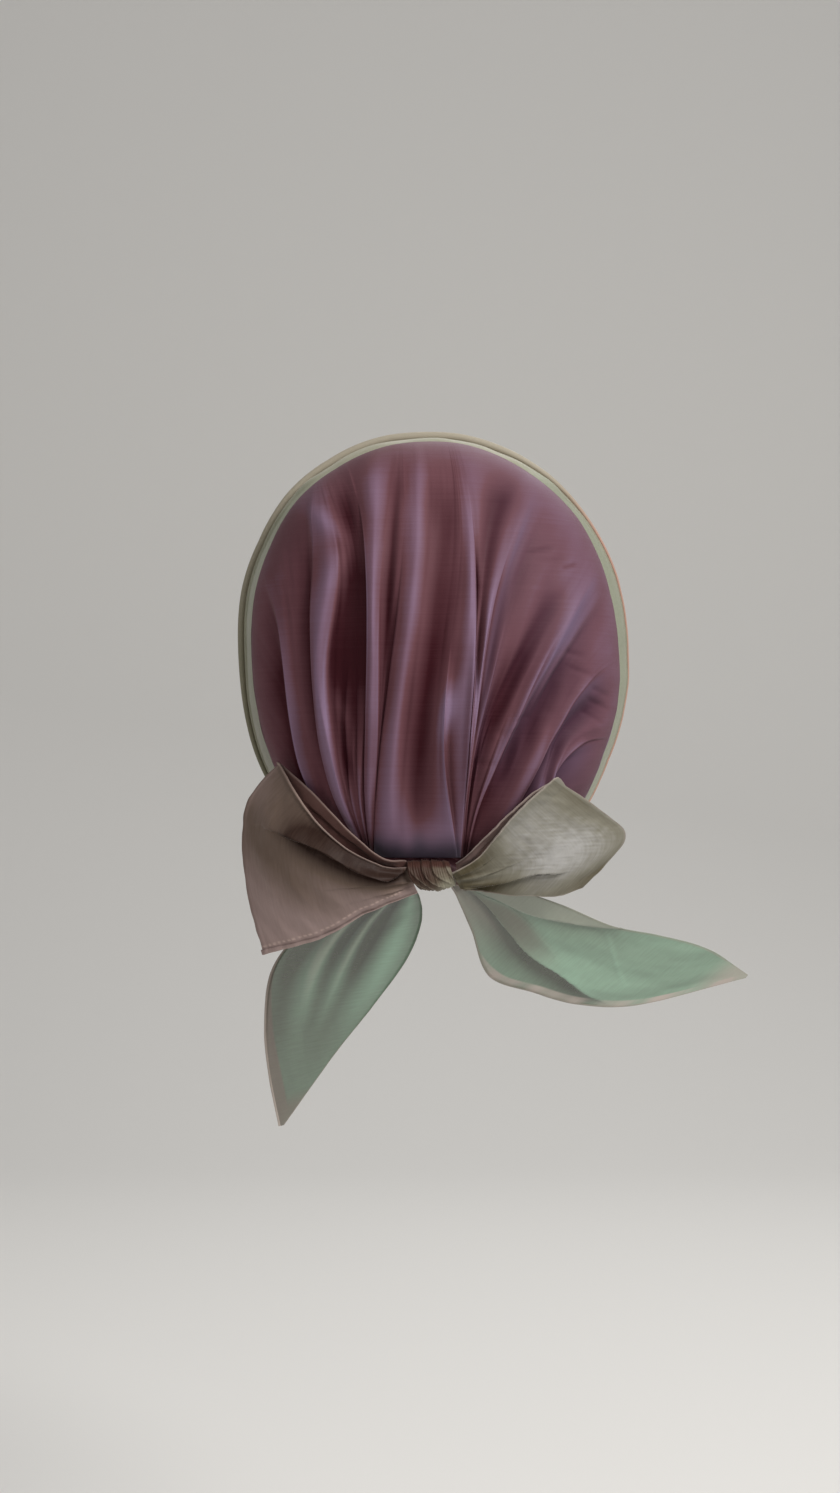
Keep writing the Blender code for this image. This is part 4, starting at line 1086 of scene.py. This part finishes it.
def cloth_material(name, look):
    """Shot cloth: colours from shadow to light by each point's painted light and shade, a tint, a hem
    and highlight colour, fine streaks and a weave.
    """
    look = dict(zip(CLOTH_KEYS, look))
    material = bpy.data.materials.new(name)
    material.use_nodes = True
    tree = material.node_tree
    tree.nodes.clear()

    def node(kind, inputs, output=0, **settings):
        """Output of a new node whose inputs, by name or number, are linked or set."""
        made = tree.nodes.new("ShaderNode" + kind)
        for key, value in settings.items():
            setattr(made, key, value)
        for key, value in inputs.items():
            if isinstance(value, bpy.types.NodeSocket):
                tree.links.new(value, made.inputs[key])
            else:
                made.inputs[key].default_value = value
        return made.outputs[output]

    def attribute(key):
        return node("Attribute", {}, "Fac", attribute_name=key)

    def maths(operation, first, second, **settings):
        return node("Math", {0: first, 1: second}, operation=operation, **settings)

    def mapped(source, low, high, to_low, to_high):
        ends = {"From Min": low, "From Max": high, "To Min": to_low, "To Max": to_high}
        return node("MapRange", {"Value": source, **ends}, "Result")

    def noise(source, scale, stretch, detail):
        spread = node("Mapping", {"Vector": source, "Scale": stretch})
        return node("TexNoise", {"Vector": spread, "Scale": scale, "Detail": detail}, "Fac")

    def blend(factor, first, second):
        first, second = ((*c, 1) if isinstance(c, tuple) else c for c in (first, second))
        return node("Mix", {0: factor, 6: first, 7: second}, 2, data_type="RGBA")

    where = node("TexCoord", {}, "Object")
    if look["streaks"][2] > 0:
        streak = noise(where, STREAK_SCALE, look["streaks"], 3)
    else:
        place = node("CombineXYZ", {0: attribute("along"), 1: attribute("across")})
        streak = noise(place, 1, look["streaks"], 3)
    patch = noise(where, PATCH_SCALE, (1, 1, 1), 3)
    weave = noise(where, WEAVE_SCALE, (1, 1, 1), 1)

    slub, rough = look["slub"], look["roughness"]
    drift = maths("ADD", mapped(patch, 0.3, 0.7, -0.05, 0.05), mapped(streak, 0.3, 0.7, -slub, slub))
    # Tone carries painted light and shade: 0 paints the shadow colour, a half the middle one and 1 the
    # light one.
    tone = maths("ADD", attribute("tone"), drift, use_clamp=True)
    dark = blend(mapped(tone, 0, 0.5, 0, 1), look["shadow"], look["middle"])
    lit_and_shaded = blend(mapped(tone, 0.5, 1, 0, 1), dark, look["light"])
    tinted = blend(attribute("blush"), lit_and_shaded, look["blush"])
    colour = blend(attribute("hem"), tinted, look["hem"])
    relief = maths("ADD", weave, mapped(streak, 0, 1, 0, 14 * slub))
    finish = {
        "Base Color": colour,
        "Roughness": mapped(weave, 0.3, 0.7, rough - ROUGHNESS_SPREAD, rough + ROUGHNESS_SPREAD),
        "Normal": node("Bump", {"Strength": BUMP_STRENGTH, "Distance": BUMP_DISTANCE, "Height": relief}),
        "Specular IOR Level": look["shine"],
        "Sheen Weight": look["sheen"],
        "Sheen Roughness": SHEEN_ROUGHNESS,
        "Sheen Tint": (*look["sheen_tint"], 1),
    }
    glow = node("BsdfTranslucent", {"Color": colour})
    cloth = node("MixShader", {0: look["through"], 1: node("BsdfPrincipled", finish), 2: glow})
    if name != "crown_voile":
        solid = maths("MULTIPLY", attribute("cover"), mapped(streak, 0.25, 0.75, 0.96, 1))
        cloth = node("MixShader", {0: solid, 1: node("BsdfTransparent", {}), 2: cloth})
    output = tree.nodes.new("ShaderNodeOutputMaterial")
    tree.links.new(cloth, output.inputs[0])
    return material


def grid_faces(rows, columns, wrap_rows, wrap_columns):
    r = np.arange(rows if wrap_rows else rows - 1)[:, None]
    c = np.arange(columns if wrap_columns else columns - 1)[None]
    below, beside = (r + 1) % rows, (c + 1) % columns
    corners = (r * columns + c, r * columns + beside, below * columns + beside, below * columns + c)
    return np.stack([corner.ravel() for corner in np.broadcast_arrays(*corners)], 1)


# What each point tells the material, and its value where a sheet doesn't say.
POINT_VALUES = {"tone": 0, "hem": 0, "blush": 0, "cover": 1, "along": 0, "across": 0}


def add_cloth(name, sheets, cloth, node):
    """One object from sheets of points with their values for the material."""
    vertices, faces, count = [], [], 0
    for sheet in sheets:
        rows, columns = sheet["points"].shape[:2]
        faces.append(grid_faces(rows, columns, *sheet.get("wraps", (False, False))) + count)
        vertices.append(sheet["points"].reshape(-1, 3))
        count += rows * columns
    mesh = bpy.data.meshes.new(name)
    mesh.from_pydata((np.concatenate(vertices) * MM).tolist(), [], np.concatenate(faces).tolist())
    for key, usual in POINT_VALUES.items():
        parts = [np.broadcast_to(sheet.get(key, usual), sheet["points"].shape[:2]) for sheet in sheets]
        layer = mesh.attributes.new(key, "FLOAT", "POINT")
        values = np.concatenate([part.ravel() for part in parts])
        layer.data.foreach_set("value", values.astype(np.float32))
    mesh.shade_smooth()
    mesh.materials.append(materials[cloth])
    piece = bpy.data.objects.new(name, mesh)
    bpy.context.scene.collection.objects.link(piece)
    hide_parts(node)
    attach(piece, "root")
    return piece


materials = {name: cloth_material(name, look) for name, look in CLOTHS.items()}
crown = add_cloth("crown_drape", crown_sheets(), "crown_voile", "crown")
band = add_cloth("face_band_roll", band_sheets(), "band_organza", "face_band")
knot = add_cloth("knot_wrap", knot_sheets(), "bow_wrap", "bow_knot")
left_loop, right_loop = loop_sheets("bow_loop_left"), loop_sheets("bow_loop_right")
loop_left = add_cloth("loop_left_strip", left_loop, "bow_taupe", "bow_loop_left")
loop_right = add_cloth("loop_right_strip", right_loop, "bow_sage", "bow_loop_right")
left_tail, right_tail = tail_sheets("tail_left"), tail_sheets("tail_right")
tail_left = add_cloth("tail_left_sheet", left_tail, "tail_sheer", "tail_left")
tail_right = add_cloth("tail_right_sheet", right_tail, "tail_sheer", "tail_right")


# Stage, in metres: half width, near end, where it starts to bend up, floor, bend and top.
STAGE_HALF, STAGE_NEAR, STAGE_TURN = 4, -4, 1.4
FLOOR_Z, STAGE_BEND, STAGE_TOP = -0.62, 0.9, 3
PAPER = (0.72, 0.71, 0.69, 1)


def add_stage():
    """Plain pale floor that sweeps up into a backdrop well behind the hat."""
    bend = np.radians(np.linspace(0, 90, 17))
    ys = [STAGE_NEAR, *(STAGE_TURN + STAGE_BEND * np.sin(bend)), STAGE_TURN + STAGE_BEND]
    zs = [FLOOR_Z, *(FLOOR_Z + STAGE_BEND * (1 - np.cos(bend))), STAGE_TOP]
    vertices = [(x, y, z) for y, z in zip(ys, zs) for x in (-STAGE_HALF, STAGE_HALF)]
    faces = [(i, i + 1, i + 3, i + 2) for i in range(0, len(vertices) - 2, 2)]
    mesh = bpy.data.meshes.new("backdrop")
    mesh.from_pydata(vertices, [], faces)
    mesh.shade_smooth()
    material = bpy.data.materials.new("backdrop_paper")
    material.use_nodes = True
    shader = material.node_tree.nodes["Principled BSDF"]
    shader.inputs["Base Color"].default_value = PAPER
    shader.inputs["Roughness"].default_value = 0.9
    mesh.materials.append(material)
    floor = bpy.data.objects.new("backdrop", mesh)
    bpy.context.scene.collection.objects.link(floor)


def add_light(name, place, target, size, power, colour=(1, 1, 1)):
    """A square soft light at a place, turned to its target."""
    lamp = bpy.data.lights.new(name, "AREA")
    lamp.shape = "SQUARE"
    lamp.size = size
    lamp.energy = power
    lamp.color = colour
    light = bpy.data.objects.new(name, lamp)
    light.location = place
    x, y, z = np.array(target) - np.array(place)
    light.rotation_euler = (np.arctan2(np.hypot(x, y), -z), 0, np.arctan2(-x, y))
    bpy.context.scene.collection.objects.link(light)


WORLD_COLOUR = (0.88, 0.88, 0.88, 1)
WORLD_STRENGTH = 0.38


def add_world():
    world = bpy.data.worlds.new("studio")
    world.use_nodes = True
    background = world.node_tree.nodes["Background"]
    background.inputs["Color"].default_value = WORLD_COLOUR
    background.inputs["Strength"].default_value = WORLD_STRENGTH
    bpy.context.scene.world = world


# The photo's angle: level, from behind the wearer, in metres; lens in millimetres.
CAMERA_PLACE = (-0.0066, -1, -0.1398)
CAMERA_LENS = 51.3


def add_camera():
    camera = bpy.data.objects.new("camera", bpy.data.cameras.new("camera"))
    camera.location = CAMERA_PLACE
    camera.rotation_euler = (pi / 2, 0, 0)
    camera.data.lens = CAMERA_LENS
    camera.data.sensor_width = 36
    camera.data.clip_start = 0.01
    bpy.context.scene.collection.objects.link(camera)
    bpy.context.scene.camera = camera


HAT_MIDDLE = (0, -0.03, -0.13)
add_stage()
add_light("key", (1.05, -0.95, 0.95), HAT_MIDDLE, 0.8, 36, (1, 0.98, 0.95))
add_light("fill", (-1.3, -1.2, 0.3), HAT_MIDDLE, 1.2, 4, (1, 0.93, 0.88))
add_light("back", (0.3, 1.2, 0.9), HAT_MIDDLE, 0.9, 9)
add_world()
add_camera()
bpy.context.scene.view_settings.view_transform = "Standard"
